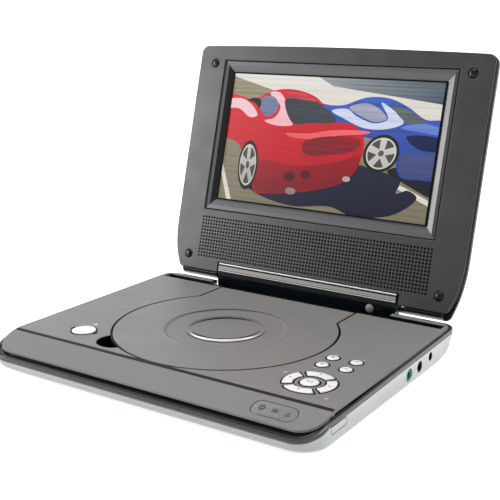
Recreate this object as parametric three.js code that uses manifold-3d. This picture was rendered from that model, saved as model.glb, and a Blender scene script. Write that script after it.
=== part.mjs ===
// Portable DVD player: a clamshell with a 7 inch screen in the lid and a disc drive in the base.
// Units are millimetres. X runs along the screen hinge, Y to the back, Z up.
// Base pieces are modelled in deck coordinates: Z = 0 is the flat top of the base.
// Lid pieces are modelled in lid coordinates: X along the hinge axis, Y up the lid from that axis,
// Z out of the screen. The last lines stand the whole player on its feet.
import * as THREE from 'three';
import { mergeVertices } from 'three/addons/utils/BufferGeometryUtils.js';
import Module from 'manifold-3d';

const wasm = await Module();
wasm.setup();

// ---------------------------------------------------------------- driving dimensions
const GAP = 0.3; // running gap between neighbouring pieces
const FIT = 0.05; // gap between pieces that are screwed or glued face to face
const WALL = 2; // moulded wall thickness

// base
const BASE_HALF_WIDTH = 105.2;
const BASE_FRONT = -124;
const BASE_REAR = 44;
const BASE_HEIGHT = 20.6; // deck to underside
const FOOT_HEIGHT = 1.9;
const CREASE_Y = -102.4; // where the flat deck turns down into the front band
const BAND_SLOPE = 0.325;
const PLATE = { halfWidth: 103.4, front: -120.3, rear: 40 };
const PLATE_THICKNESS = 2.2;
const BASE_CORNER = { front: 14, rear: 9 };
const UNDERSIDE_START = -10.6; // height where the silver shell starts to curve under
const UNDERSIDE_CURVE = { side: 10, front: 18, rear: 14 };
const CHANNEL = { halfWidth: 100.5, front: 29.5, rear: 36.2, floor: -7 };

// disc bay
const DISC = { x: -2.7, y: -36.4 };
const DISC_LID_RADIUS = 65.6;
// the neck's flare leaves the circle this far behind the disc centre
const NECK = { halfWidth: 50, rear: 28.8, flareTop: 6, flareRise: 34.6 };
const SEAM = 0.5; // visible seam round the disc lid
const DISC_LID_THICKNESS = 2;
const TRAY_FLOOR = -8.5;
const TRAY_BOTTOM = -10;
const NOTCH = { x: -41, y: -88, radius: 10.5 };
const DISC_LID_PIVOT = { y: 23, z: -5 };

// screen lid
const TILT = THREE.MathUtils.degToRad(15.1); // lean of the open lid behind the vertical
const HINGE = { y: 48.66, z: 5.2 };
const FACE_Z = 4.2; // lid face in front of the hinge axis
const LID_THICKNESS = 15;
const LID_HALF_WIDTH = 104.7;
const LID_TOP = 151;
const LID_CROWN = 1.2;
const FACE_BOTTOM = -2.2;
const CHIN_BOTTOM = -6.7;
const LID_NOTCH = { halfWidth: 66.8, top: 5 };
const WINDOW = { halfWidth: 76.6, bottom: 47.2, top: 134 };
const REVEAL = { halfWidth: 84, bottom: 39.6, top: 141.5, depth: 2.4 };
const BARREL_HALF_WIDTH = 65.5;

// keys, all round ones as x, y, radius
const KEY_TRAVEL = 0.7;
const KEY_PROUD = 0.6;
const KEY_GAP = 0.4; // round each key in the deck
const OPEN_BUTTON = { x: -67.5, y: -84.5, radius: 6.9 };
const ROUND_KEYS = [[71.5, -44.8], [85, -44.3], [71.5, -56.3], [85, -55.8]];
const ROUND_KEY_RADIUS = 3.3;
const PAD = { x: 78, y: -80.5, inner: 8.5, outer: 13.7, centre: 4.8, halfAngle: 37 };

// facets of round shapes
const CURVE_STEPS = 4; // steps in each rounded corner
const SMALL = 12; // pins, screws and bores
const ROUND = 20; // keys, feet, motors
const FINE = 44; // disc bay

// ---------------------------------------------------------------- colours
const finish = (color, roughness, metalness) => ({ color, roughness, metalness });
const LOOK = {
  deck: finish(0x868583, 0.35, 0.5),
  lidGrey: finish(0x5c5d5f, 0.5, 0.2),
  black: finish(0x101214, 0.25, 0.1),
  silver: finish(0xcdced0, 0.35, 0.4),
  band: finish(0x5e5a57, 0.2, 0.4),
  white: finish(0xf0efec, 0.35, 0.0),
  rubber: finish(0x141414, 0.8, 0.0),
  steel: finish(0xb4b6b8, 0.3, 1.0),
  board: finish(0x1f5a35, 0.6, 0.0),
  green: finish(0x1a8a5c, 0.4, 0.0),
  screen: finish(0x30343c, 0.1, 0.0),
  cell: finish(0x2d4f86, 0.5, 0.0),
  smoke: finish(0x77787a, 0.2, 0.2),
  brass: finish(0xb08d4a, 0.4, 1.0),
  grey: finish(0x6e7073, 0.6, 0.0),
};

// ---------------------------------------------------------------- solids and booleans
function toSolid(geometry) {
  const bare = geometry.clone();
  bare.deleteAttribute('normal');
  bare.deleteAttribute('uv');
  const merged = mergeVertices(bare);
  const vertProperties = new Float32Array(merged.attributes.position.array);
  const triVerts = new Uint32Array(merged.index.array);
  return new wasm.Manifold(new wasm.Mesh({ numProp: 3, vertProperties, triVerts }));
}

function toGeometry(solid) {
  const mesh = solid.getMesh();
  const geometry = new THREE.BufferGeometry();
  geometry.setAttribute('position', new THREE.BufferAttribute(mesh.vertProperties, 3));
  geometry.setIndex(new THREE.BufferAttribute(mesh.triVerts, 1));
  geometry.computeVertexNormals();
  return geometry;
}

const join = (...solids) => solids.reduce((all, next) => all.add(next));
const SIDES = [-1, 1]; // left, right
// two distances from the middle as a rising pair of X values on the left (-1) or the right (1)
const span = (side, a, b) => [side * a, side * b].sort((p, q) => p - q);
const cut = (solid, ...tools) => tools.reduce((left, tool) => left.subtract(tool), solid);

function box(x0, x1, y0, y1, z0, z1) {
  const geometry = new THREE.BoxGeometry(x1 - x0, y1 - y0, z1 - z0);
  geometry.translate((x0 + x1) / 2, (y0 + y1) / 2, (z0 + z1) / 2);
  return toSolid(geometry);
}

function prismZ(shape, z0, z1, curveSegments = CURVE_STEPS) {
  const geometry = new THREE.ExtrudeGeometry(shape, { depth: z1 - z0, bevelEnabled: false, curveSegments });
  geometry.translate(0, 0, z0);
  return toSolid(geometry);
}

// a prism along X whose section is a list of [y, z] points
function prismX(points, x0, x1) {
  const shape = new THREE.Shape(points.map(([y, z]) => new THREE.Vector2(y, z)));
  const geometry = new THREE.ExtrudeGeometry(shape, { depth: x1 - x0, bevelEnabled: false });
  const axes = [new THREE.Vector3(0, 1, 0), new THREE.Vector3(0, 0, 1), new THREE.Vector3(1, 0, 0)];
  geometry.applyMatrix4(new THREE.Matrix4().makeBasis(...axes));
  geometry.translate(x0, 0, 0);
  return toSolid(geometry);
}

function rodZ(x, y, radius, z0, z1, segments = ROUND) {
  const geometry = new THREE.CylinderGeometry(radius, radius, z1 - z0, segments);
  geometry.rotateX(Math.PI / 2);
  geometry.translate(x, y, (z0 + z1) / 2);
  return toSolid(geometry);
}

function rodX(y, z, radius, x0, x1, segments = SMALL) {
  const geometry = new THREE.CylinderGeometry(radius, radius, x1 - x0, segments);
  geometry.rotateZ(Math.PI / 2);
  geometry.translate((x0 + x1) / 2, y, z);
  return toSolid(geometry);
}

function rodY(x, z, radius, y0, y1, segments = SMALL) {
  const geometry = new THREE.CylinderGeometry(radius, radius, y1 - y0, segments);
  geometry.translate(x, (y0 + y1) / 2, z);
  return toSolid(geometry);
}

// a turned piece about a vertical axis at x, y; the profile lists [radius, z] from the bottom up
function turned(profile, x, y, segments = ROUND) {
  const points = profile.map(([radius, z]) => new THREE.Vector2(radius, z));
  const geometry = new THREE.LatheGeometry(points, segments);
  geometry.rotateX(Math.PI / 2);
  geometry.translate(x, y, 0);
  return toSolid(geometry);
}

// a closed skin through rings of equal length, each counter-clockwise, listed from the lowest up
function loft(rings) {
  const count = rings[0].length;
  const positions = rings.flat().flatMap((point) => [point.x, point.y, point.z]);
  const index = [];
  for (let level = 0; level < rings.length - 1; level += 1) {
    for (let j = 0; j < count; j += 1) {
      const a = level * count + j;
      const b = level * count + ((j + 1) % count);
      index.push(a, b, b + count, a, b + count, a + count);
    }
  }
  const flat = rings[0].map((point) => new THREE.Vector2(point.x, point.y));
  const top = (rings.length - 1) * count;
  for (const [a, b, c] of THREE.ShapeUtils.triangulateShape(flat, [])) {
    index.push(a, c, b, top + a, top + b, top + c);
  }
  const geometry = new THREE.BufferGeometry();
  geometry.setAttribute('position', new THREE.Float32BufferAttribute(positions, 3));
  geometry.setIndex(index);
  return toSolid(geometry);
}

// ---------------------------------------------------------------- outlines
// rectangle with one corner radius at the front and another at the back
function roundedRect(x0, x1, y0, y1, rFront, rRear = rFront) {
  const shape = new THREE.Shape();
  shape.moveTo(x0 + rFront, y0);
  shape.lineTo(x1 - rFront, y0);
  shape.absarc(x1 - rFront, y0 + rFront, rFront, -Math.PI / 2, 0, false);
  shape.lineTo(x1, y1 - rRear);
  shape.absarc(x1 - rRear, y1 - rRear, rRear, 0, Math.PI / 2, false);
  shape.lineTo(x0 + rRear, y1);
  shape.absarc(x0 + rRear, y1 - rRear, rRear, Math.PI / 2, Math.PI, false);
  shape.lineTo(x0, y0 + rFront);
  shape.absarc(x0 + rFront, y0 + rFront, rFront, Math.PI, Math.PI * 1.5, false);
  return shape;
}

const baseOutline = (halfWidth, front, rear, shrink = 0) =>
  roundedRect(-halfWidth, halfWidth, front, rear, BASE_CORNER.front - shrink, BASE_CORNER.rear - shrink);

// the disc lid: a circle that runs into a straight-sided neck towards the hinge
function discLidOutline(grow, rear) {
  const radius = DISC_LID_RADIUS + grow;
  const half = NECK.halfWidth + grow;
  const flareAngle = Math.asin(NECK.flareRise / DISC_LID_RADIUS);
  const shape = new THREE.Shape();
  shape.moveTo(DISC.x + half, rear);
  shape.lineTo(DISC.x - half, rear);
  shape.lineTo(DISC.x - half, NECK.flareTop);
  shape.absarc(DISC.x, DISC.y, radius, Math.PI - flareAngle, flareAngle, false);
  shape.lineTo(DISC.x + half, NECK.flareTop);
  return shape;
}

// one ring-shaped quarter key of the pad, centred on the direction given in degrees
function padKeyOutline(direction, grow) {
  const half = THREE.MathUtils.degToRad(PAD.halfAngle + grow * 5);
  const middle = THREE.MathUtils.degToRad(direction);
  const shape = new THREE.Shape();
  shape.absarc(PAD.x, PAD.y, PAD.outer + grow, middle - half, middle + half, false);
  shape.absarc(PAD.x, PAD.y, PAD.inner - grow, middle + half, middle - half, true);
  return shape;
}

// height of the deck surface: flat, then falling towards the front
const deckHeight = (y) => Math.min(0, (y - CREASE_Y) * BAND_SLOPE);

// the slab between two surfaces parallel to the deck, at the depths given under it
function deckSlab(topDepth, bottomDepth, front = BASE_FRONT - 2, rear = BASE_REAR + 2) {
  const low = deckHeight(front);
  const points = [
    [rear, -topDepth], [CREASE_Y, -topDepth], [front, low - topDepth],
    [front, low - bottomDepth], [CREASE_Y, -bottomDepth], [rear, -bottomDepth],
  ];
  return prismX(points, -BASE_HALF_WIDTH - 5, BASE_HALF_WIDTH + 5);
}

// ---------------------------------------------------------------- assembly
const base = new THREE.Group();
const lid = new THREE.Group();

function place(parent, name, solid, look) {
  const mesh = new THREE.Mesh(toGeometry(solid), new THREE.MeshStandardMaterial(look));
  mesh.name = name;
  parent.add(mesh);
}

// ---------------------------------------------------------------- base: shells
const JACKS = {
  headphone_jack: { y: -22.6, z: -9.6, radius: 3.3, bore: 1.8, look: LOOK.green },
  av_jack: { y: -9.2, z: -9.2, radius: 2.7, bore: 1.8, look: LOOK.black },
  dc_inlet: { y: 5.1, z: -7.9, radius: 2.2, bore: 1.6, look: LOOK.black },
};
const PORT_COVER = { front: -108, rear: -92.7, bottom: -10.4, top: -6.2, thickness: 1.4 };
const INDICATOR = { x: 77.5, y: -112.2, width: 24, depth: 9.2, radius: 4 };
const SCREW_SPOTS = [[-88, -84], [88, -106], [-92, 20], [92, 24]];
const FOOT_SPOTS = [
  ['front_left', -82, -96], ['front_right', 82, -96], ['rear_left', -82, 20], ['rear_right', 82, 20],
];
const SCREW = { headRadius: 2.8, shankRadius: 1.2, headDepth: 1.6, length: 10 };
const BARREL_CUT = { halfWidth: 66, front: 38 };
const barrelRoom = () => box(-BARREL_CUT.halfWidth, BARREL_CUT.halfWidth, BARREL_CUT.front, 60, -14, 5);
const BAND = { top: -1, bottom: -3.3, topAtFront: -9, bottomAtFront: -10.7 };
const BOSS = { radius: 4.2, top: -11 };

function lowerShell(inset, floor) {
  const rings = [];
  const steps = 4;
  const flatTop = -1;
  const drop = -UNDERSIDE_START + floor; // negative height of the curved part
  for (let i = steps; i >= 0; i -= 1) {
    const angle = (i / steps) * (Math.PI / 2);
    const curl = 1 - Math.cos(angle);
    const outline = roundedRect(
      -BASE_HALF_WIDTH + inset + UNDERSIDE_CURVE.side * curl,
      BASE_HALF_WIDTH - inset - UNDERSIDE_CURVE.side * curl,
      BASE_FRONT + inset + UNDERSIDE_CURVE.front * curl,
      BASE_REAR - inset - UNDERSIDE_CURVE.rear * curl,
      BASE_CORNER.front - inset,
      BASE_CORNER.rear - inset,
    );
    const z = UNDERSIDE_START + drop * Math.sin(angle);
    rings.push(outline.extractPoints(4).shape.map((p) => new THREE.Vector3(p.x, p.y, z)));
  }
  rings.push(rings[rings.length - 1].map((p) => new THREE.Vector3(p.x, p.y, flatTop)));
  return loft(rings);
}

function lowerCase() {
  const shell = cut(lowerShell(0, -BASE_HEIGHT), lowerShell(WALL, -BASE_HEIGHT + WALL));
  const trimmed = shell.intersect(join(
    deckSlab(3.35, 12),
    box(-BASE_HALF_WIDTH - 5, BASE_HALF_WIDTH + 5, BASE_FRONT - 2, BASE_REAR + 2, -BASE_HEIGHT - 1, -10.8),
  ));
  const bosses = SCREW_SPOTS.map(([x, y]) => rodZ(x, y, BOSS.radius, -BASE_HEIGHT + 0.5, BOSS.top, 16));
  const bores = SCREW_SPOTS.map(([x, y]) => join(
    rodZ(x, y, SCREW.shankRadius + GAP, -BASE_HEIGHT - 1, BOSS.top + 1, SMALL),
    rodZ(x, y, SCREW.headRadius + GAP, -BASE_HEIGHT - 1, -BASE_HEIGHT + 2.4, SMALL),
  ));
  const sockets = Object.values(JACKS).map((jack) =>
    rodX(jack.y, jack.z, jack.radius + GAP, BASE_HALF_WIDTH - 6, BASE_HALF_WIDTH + 2, ROUND));
  const cover = PORT_COVER;
  const outer = BASE_HALF_WIDTH;
  const port = join(
    box(outer - cover.thickness, outer + 2, cover.front, cover.rear, cover.bottom, cover.top),
    box(outer - 4, outer, cover.front + 2, cover.rear - 2, cover.bottom + 1, cover.top - 1),
  );
  return cut(join(trimmed, ...bosses), ...bores, ...sockets, port, barrelRoom());
}

function sideBand() {
  const inner = roundedRect(-103.7, 103.7, -117.5, 40.3, 8, 5);
  const ring = cut(
    prismZ(baseOutline(BASE_HALF_WIDTH, BASE_FRONT, BASE_REAR), -20, 5),
    prismZ(inner, -21, 6),
  );
  const { top, bottom, topAtFront, bottomAtFront } = BAND;
  const strip = prismX([
    [BASE_REAR + 2, top], [CREASE_Y, top], [BASE_FRONT, topAtFront], [BASE_FRONT - 1, topAtFront],
    [BASE_FRONT - 1, bottomAtFront], [BASE_FRONT, deckHeight(BASE_FRONT) + bottom],
    [CREASE_Y, bottom], [BASE_REAR + 2, bottom],
  ], -BASE_HALF_WIDTH - 5, BASE_HALF_WIDTH + 5);
  return cut(ring.intersect(strip), barrelRoom());
}

function deckOpenings() {
  const tools = [
    prismZ(discLidOutline(0, CHANNEL.front + 1), -12, 2, FINE),
    rodZ(NOTCH.x, NOTCH.y, NOTCH.radius, -5, 2, 24),
    rodZ(OPEN_BUTTON.x, OPEN_BUTTON.y, OPEN_BUTTON.radius + KEY_GAP, -5, 2, 24),
    rodZ(PAD.x, PAD.y, PAD.centre + KEY_GAP, -5, 2),
    prismZ(indicatorHole(), -20, 2).intersect(deckSlab(-1, PLATE_THICKNESS + 0.1)),
    box(-CHANNEL.halfWidth, CHANNEL.halfWidth, CHANNEL.front, CHANNEL.rear, CHANNEL.floor, 2),
    box(-BARREL_CUT.halfWidth, BARREL_CUT.halfWidth, BARREL_CUT.front - 1.7, 60, CHANNEL.floor, 5),
    barrelRoom(),
  ];
  for (const [x, y] of ROUND_KEYS) {
    tools.push(rodZ(x, y, ROUND_KEY_RADIUS + KEY_GAP, -5, 2));
  }
  for (let quarter = 0; quarter < 4; quarter += 1) {
    tools.push(prismZ(padKeyOutline(quarter * 90, KEY_GAP), -5, 2));
  }
  return tools;
}

function indicatorHole() {
  const { x, y, width, depth, radius } = INDICATOR;
  const grow = GAP;
  return roundedRect(
    x - width / 2 - grow, x + width / 2 + grow, y - depth / 2 - grow, y + depth / 2 + grow, radius + grow,
  );
}

function upperCase() {
  const { halfWidth, front, rear } = PLATE;
  const plate = prismZ(baseOutline(halfWidth, front, rear, 1.5), -14, 1).intersect(prismX([
    [rear + 1, 0], [CREASE_Y, 0], [front, deckHeight(front)], [front, deckHeight(front) - 0.9],
    [front + 2.8, deckHeight(front + 2.8) - 1.2], [CREASE_Y, -PLATE_THICKNESS], [rear + 1, -PLATE_THICKNESS],
  ], -halfWidth - 1, halfWidth + 1));
  const skirt = cut(
    prismZ(roundedRect(-102.8, 102.8, -117.2, rear - 0.2, 8, 5), -16, 1),
    prismZ(roundedRect(-101, 101, -115.4, rear - WALL, 6, 3), -17, 2),
  ).intersect(deckSlab(0.5, 4.2));
  const trough = box(-102, 102, CHANNEL.front - 1.5, CHANNEL.rear + 2.2, CHANNEL.floor - 1.5, -0.5);
  return cut(join(plate, skirt, trough), ...deckOpenings());
}

// ---------------------------------------------------------------- base: disc bay
const SLOT = { near: 17, far: 62.3, halfWidth: 5.5 };
const DRIVE_HOLE_RADIUS = 17; // round the spindle motor
const SWING = { inner: 46.9, outer: 50.4, radius: 8.1, hub: 2.7 };
const DISH = { radius: 34.3, depth: 0.4 }; // flat recess in the top of the disc lid
const RAMP = { radius: 20.8, rise: 0.95, floor: -1.6 }; // tilted round middle, proud in front and sunk behind
const UNDER_PAD_RADIUS = 24;
const LATCH_DIRECTION = Math.atan2(OPEN_BUTTON.y - DISC.y, OPEN_BUTTON.x - DISC.x);

// turns a solid drawn along +X from the disc centre so that it points at the open button
function towardsLatch(solid) {
  const degrees = THREE.MathUtils.radToDeg(LATCH_DIRECTION);
  return solid.rotate([0, 0, degrees]).translate([DISC.x, DISC.y, 0]);
}

function discTray() {
  const flangeTop = -PLATE_THICKNESS - FIT;
  const rim = join(
    prismZ(discLidOutline(2.2, CHANNEL.front - 1.6), flangeTop - 1.5, flangeTop, FINE),
    rodZ(NOTCH.x, NOTCH.y, NOTCH.radius + 1.6, TRAY_BOTTOM, flangeTop, 24),
  ).intersect(deckSlab(PLATE_THICKNESS + FIT, 20));
  const wall = prismZ(discLidOutline(-1.2, CHANNEL.front - 1.6), TRAY_BOTTOM, flangeTop, FINE);
  const well = prismZ(discLidOutline(-3, CHANNEL.front + 5), TRAY_FLOOR, 1, FINE);
  const cup = rodZ(NOTCH.x, NOTCH.y, NOTCH.radius, TRAY_FLOOR, 1, 24);
  const spindleHole = rodZ(DISC.x, DISC.y, DRIVE_HOLE_RADIUS, TRAY_BOTTOM - 1, 0, 28);
  const slot = box(
    DISC.x, DISC.x + SLOT.far, DISC.y - SLOT.halfWidth, DISC.y + SLOT.halfWidth, TRAY_BOTTOM - 1, -5,
  );
  const latchWindow = towardsLatch(box(60.5, 70, -4, 4, TRAY_BOTTOM - 1, 0));
  const pivotSlots = SIDES.map((side) => {
    const [x0, x1] = span(side, 45.6, 50.8);
    return rodX(DISC_LID_PIVOT.y, DISC_LID_PIVOT.z, 1.6, DISC.x + x0, DISC.x + x1);
  });
  const swings = SIDES.map((side) => discLidSwing(side));
  return cut(join(rim, wall), well, cup, spindleHole, slot, latchWindow, ...pivotSlots, ...swings);
}

// space behind the pivot that the rear corner of the disc lid sweeps as it opens
function discLidSwing(side) {
  const { y, z } = DISC_LID_PIVOT;
  const [x0, x1] = span(side, SWING.inner, SWING.outer).map((x) => x + DISC.x);
  const ring = cut(rodX(y, z, SWING.radius, x0, x1, ROUND), rodX(y, z, SWING.hub, x0 - 1, x1 + 1));
  return ring.intersect(box(x0, x1, y, y + 9, -8.4, 5));
}

function discLid() {
  const thin = DISC_LID_THICKNESS;
  const sheet = prismZ(discLidOutline(-SEAM, NECK.rear), -thin, 0, FINE);
  const underPad = rodZ(DISC.x, DISC.y, UNDER_PAD_RADIUS, -thin - 1, -thin + 0.5, 32);
  const dish = rodZ(DISC.x, DISC.y, DISH.radius, -DISH.depth, 1, FINE);
  const middle = rodZ(DISC.x, DISC.y, RAMP.radius, RAMP.floor, 1, FINE);
  const underRamp = prismX([
    [DISC.y - RAMP.radius, RAMP.floor - 1], [DISC.y + RAMP.radius, RAMP.floor - 1],
    [DISC.y + RAMP.radius, -DISH.depth - RAMP.rise], [DISC.y - RAMP.radius, -DISH.depth + RAMP.rise],
  ], DISC.x - RAMP.radius, DISC.x + RAMP.radius);
  const plate = join(cut(join(sheet, underPad), dish, middle), middle.intersect(underRamp));
  const arms = SIDES.map((side) => {
    const { y, z } = DISC_LID_PIVOT;
    const [x0, x1] = span(side, 43, 46);
    const [pin0, pin1] = span(side, 44.5, 49.2);
    const section = [[y - 4, -thin + 0.2], [y + 4, -thin + 0.2], [y + 2, z - 1.8], [y - 2, z - 1.8]];
    return join(
      prismX(section, DISC.x + x0, DISC.x + x1),
      rodX(y, z, 1.2, DISC.x + pin0, DISC.x + pin1),
    );
  });
  const tongue = towardsLatch(join(
    box(58.6, 60.2, -3, 3, -6.5, -thin + 0.2),
    box(60, 61.2, -3, 3, -6.5, -5.7),
  ));
  return join(plate, ...arms, tongue);
}

function discLatch() {
  return towardsLatch(join(
    box(60.6, 62, -2.6, 2.6, -5.3, -4.5),
    box(61.8, 71, -2.6, 2.6, -8.5, -4.5),
  ));
}

function openButton() {
  const { x, y, radius } = OPEN_BUTTON;
  return turned([
    [0, -6], [2.5, -6], [2.5, -4.2], [radius + 0.9, -4.2], [radius + 0.9, -3.4], [radius, -3.4],
    [radius, 0.1], [radius - 0.6, KEY_PROUD], [0, KEY_PROUD],
  ], x, y, 28);
}

// ---------------------------------------------------------------- base: keys
const KEY_FLANGE = { top: -2.5, bottom: -3.2 };
const KEY_FOOT = -4.1;

function roundKey(x, y, radius) {
  return turned([
    [0, KEY_FOOT], [1.6, KEY_FOOT], [1.6, KEY_FLANGE.bottom], [radius + 0.8, KEY_FLANGE.bottom],
    [radius + 0.8, KEY_FLANGE.top], [radius, KEY_FLANGE.top], [radius, 0.2], [radius - 0.4, KEY_PROUD],
    [0, KEY_PROUD],
  ], x, y);
}

function padKey(direction) {
  const angle = THREE.MathUtils.degToRad(direction);
  const middle = (PAD.inner + PAD.outer) / 2;
  const foot = rodZ(
    PAD.x + middle * Math.cos(angle), PAD.y + middle * Math.sin(angle), 1.6,
    KEY_FOOT, KEY_FLANGE.bottom + 0.1, SMALL,
  );
  return join(prismZ(padKeyOutline(direction, 0), KEY_FLANGE.bottom, KEY_PROUD), foot);
}

// ---------------------------------------------------------------- base: disc drive
const SLED = { near: 15, length: 20, halfDepth: 23, top: -11, bottom: -16.4 };
const ROD = { offset: 19, z: -13.8, radius: 1.5, start: 10, end: 72 };
const LENS = { offset: 25, radius: 3.6, top: -8.1 };
const GEAR = { teeth: 12, module: 0.8, top: -12.6, bottom: -15.2, offset: 44.5 };
const TOOTH = { rootShare: 0.27, tipShare: 0.12 }; // half widths as shares of the pitch
const GEAR_RADIUS = (GEAR.teeth * GEAR.module) / 2;
const RACK = { pitches: 16, face: DISC.y + SLED.halfDepth + 2.4 };
const GEAR_CENTRE = { x: DISC.x + GEAR.offset, y: RACK.face + 0.8 * GEAR.module + GEAR_RADIUS + 0.2 };
const CHASSIS_TOP = -16.8;
const CHASSIS_BOTTOM = -18.2;

function driveChassis() {
  const plate = prismZ(
    roundedRect(DISC.x - 22, DISC.x + 76, DISC.y - 30, DISC.y + 44, 5), CHASSIS_BOTTOM, CHASSIS_TOP,
  );
  const motorHole = rodZ(DISC.x, DISC.y, 12.6, -19, -10, 24);
  const window = box(DISC.x + 18, DISC.x + 62, DISC.y - 12, DISC.y + 12, -19, -10);
  const gearMotorHole = rodZ(GEAR_CENTRE.x, GEAR_CENTRE.y, 5.6, -19, -10);
  const blocks = [];
  for (const side of SIDES) {
    for (const x of [DISC.x + ROD.start - 1, DISC.x + ROD.end - 2]) {
      const y = DISC.y + side * ROD.offset;
      blocks.push(box(x, x + 3, y - 3, y + 3, CHASSIS_TOP - 0.2, ROD.z + 2.6));
    }
  }
  const bores = SIDES.map((side) =>
    rodX(DISC.y + side * ROD.offset, ROD.z, ROD.radius + FIT, DISC.x + ROD.start - 5, DISC.x + ROD.end + 5));
  return cut(join(plate, ...blocks), motorHole, window, gearMotorHole, ...bores);
}

function spindleMotor() {
  return turned([
    [0, -18.3], [12.2, -18.3], [12.2, -12.8], [4, -12.8], [4, -12.3], [0, -12.3],
  ], DISC.x, DISC.y, 24);
}

function turntable() {
  return turned([
    [0, -12.2], [1, -12.2], [1, -9], [3.5, -9], [3.5, -8.3], [14.5, -8.3], [14.5, -6.9], [7.4, -6.9],
    [7.4, -5.2], [6, -4], [0, -4],
  ], DISC.x, DISC.y, 28);
}

// trapezoid teeth along a straight rack or round a gear; narrow teeth leave backlash
function gearOutline() {
  const shape = new THREE.Shape();
  const root = GEAR_RADIUS - 1.1 * GEAR.module;
  const tip = GEAR_RADIUS + 0.8 * GEAR.module;
  const pitch = (2 * Math.PI) / GEAR.teeth;
  for (let tooth = 0; tooth < GEAR.teeth; tooth += 1) {
    const middle = -Math.PI / 2 + tooth * pitch;
    const { rootShare, tipShare } = TOOTH;
    const corners = [[root, -rootShare], [tip, -tipShare], [tip, tipShare], [root, rootShare]];
    for (const [radius, share] of corners) {
      const angle = middle + share * pitch;
      const point = [radius * Math.cos(angle), radius * Math.sin(angle)];
      if (tooth === 0 && share === -rootShare) shape.moveTo(...point);
      else shape.lineTo(...point);
    }
  }
  return shape;
}

function sledGear() {
  const gear = prismZ(gearOutline(), GEAR.bottom, GEAR.top).translate([GEAR_CENTRE.x, GEAR_CENTRE.y, 0]);
  return cut(gear, rodZ(GEAR_CENTRE.x, GEAR_CENTRE.y, 1.1, -20, -10, SMALL));
}

function sledMotor() {
  return turned([
    [0, -18.3], [5.4, -18.3], [5.4, -15.6], [1, -15.6], [1, -12.2], [0, -12.2],
  ], GEAR_CENTRE.x, GEAR_CENTRE.y);
}

function pickupSled() {
  const x0 = DISC.x + SLED.near;
  const x1 = x0 + SLED.length;
  const body = box(x0, x1, DISC.y - SLED.halfDepth, DISC.y + SLED.halfDepth, SLED.bottom, SLED.top);
  const bores = SIDES.map((side) =>
    rodX(DISC.y + side * ROD.offset, ROD.z, ROD.radius + GAP, x0 - 1, x1 + 1));
  const pitch = Math.PI * GEAR.module;
  const rackStart = GEAR_CENTRE.x - 14.5 * pitch;
  const rackBack = DISC.y + SLED.halfDepth;
  const bar = box(
    rackStart, rackStart + RACK.pitches * pitch, rackBack + GAP, RACK.face - GEAR.module, GEAR.bottom, GEAR.top,
  );
  const web = box(x0 + 2, x1 - 2, rackBack - 0.5, rackBack + 0.6, GEAR.bottom, GEAR.top);
  const teeth = [];
  for (let i = 1; i < RACK.pitches; i += 1) {
    const x = rackStart + i * pitch;
    const shape = new THREE.Shape([
      new THREE.Vector2(x - TOOTH.rootShare * pitch, RACK.face - GEAR.module - 0.2),
      new THREE.Vector2(x + TOOTH.rootShare * pitch, RACK.face - GEAR.module - 0.2),
      new THREE.Vector2(x + TOOTH.tipShare * pitch, RACK.face + 0.6 * GEAR.module),
      new THREE.Vector2(x - TOOTH.tipShare * pitch, RACK.face + 0.6 * GEAR.module),
    ]);
    teeth.push(prismZ(shape, GEAR.bottom, GEAR.top));
  }
  const lensWell = rodZ(DISC.x + LENS.offset, DISC.y, LENS.radius + GAP, SLED.top - 3, 0, 16);
  return cut(join(body, bar, web, ...teeth), ...bores, lensWell);
}

function pickupLens() {
  const { offset, radius, top } = LENS;
  const bottom = SLED.top - 2.8;
  return turned([
    [0, bottom], [radius, bottom], [radius, top - 0.6], [radius - 1, top - 0.6], [radius - 1.6, top], [0, top],
  ], DISC.x + offset, DISC.y, 16);
}

// ---------------------------------------------------------------- base: electronics
function jack({ y, z, radius, bore }) {
  const face = BASE_HALF_WIDTH - 0.1;
  const body = join(
    rodX(y, z, radius, BASE_HALF_WIDTH - 4.5, face, ROUND),
    box(BASE_HALF_WIDTH - 15, BASE_HALF_WIDTH - 4.2, y - 3.6, y + 3.6, z - 3.4, z + 3.4),
  );
  return cut(body, rodX(y, z, bore, BASE_HALF_WIDTH - 12, face + 1, 16));
}

function dcInlet(options) {
  const pin = rodX(options.y, options.z, 0.5, BASE_HALF_WIDTH - 13, BASE_HALF_WIDTH - 1.5, 8);
  return join(jack(options), pin);
}

function portCover() {
  const { front, rear, bottom, top, thickness } = PORT_COVER;
  const outer = BASE_HALF_WIDTH - 0.1;
  const skin = box(outer - thickness + GAP, outer, front + GAP, rear - GAP, bottom + GAP, top - GAP);
  const plug = box(outer - 3.6, outer - 1, front + 2 + GAP, rear - 2 - GAP, bottom + 1 + GAP, top - 1 - GAP);
  return join(skin, plug);
}

function indicatorWindow() {
  const { x, y, width, depth, radius } = INDICATOR;
  const pill = prismZ(roundedRect(x - width / 2, x + width / 2, y - depth / 2, y + depth / 2, radius), -16, 2);
  return pill.intersect(deckSlab(0.3, 1.9));
}

function keyBoard() {
  return prismZ(roundedRect(66.5, 99, -97, -38, 2), -6.4, -5);
}

function mainBoard() {
  return join(
    box(-98, -27, -66, 12, -16, -14.4),
    box(-78, -58, -40, -20, -14.5, -12.5),
    box(-50, -36, -52, -38, -14.5, -12.8),
    box(-90, -82, -8, 8, -14.5, -11.5),
  );
}

function batteryPack() {
  return prismZ(roundedRect(-58, 52, -106, -67, 3), -18.3, -10.7);
}

function lidSwitch() {
  return join(box(60, 68, 8, 14, -8, -3.6), box(63, 65, 10, 12, -3.7, -2.6));
}

function foot(x, y) {
  const top = -BASE_HEIGHT - FIT;
  const bottom = -BASE_HEIGHT - FOOT_HEIGHT;
  return turned([[0, bottom], [4.6, bottom], [5.2, bottom + 0.6], [5.2, top], [0, top]], x, y);
}

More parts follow.
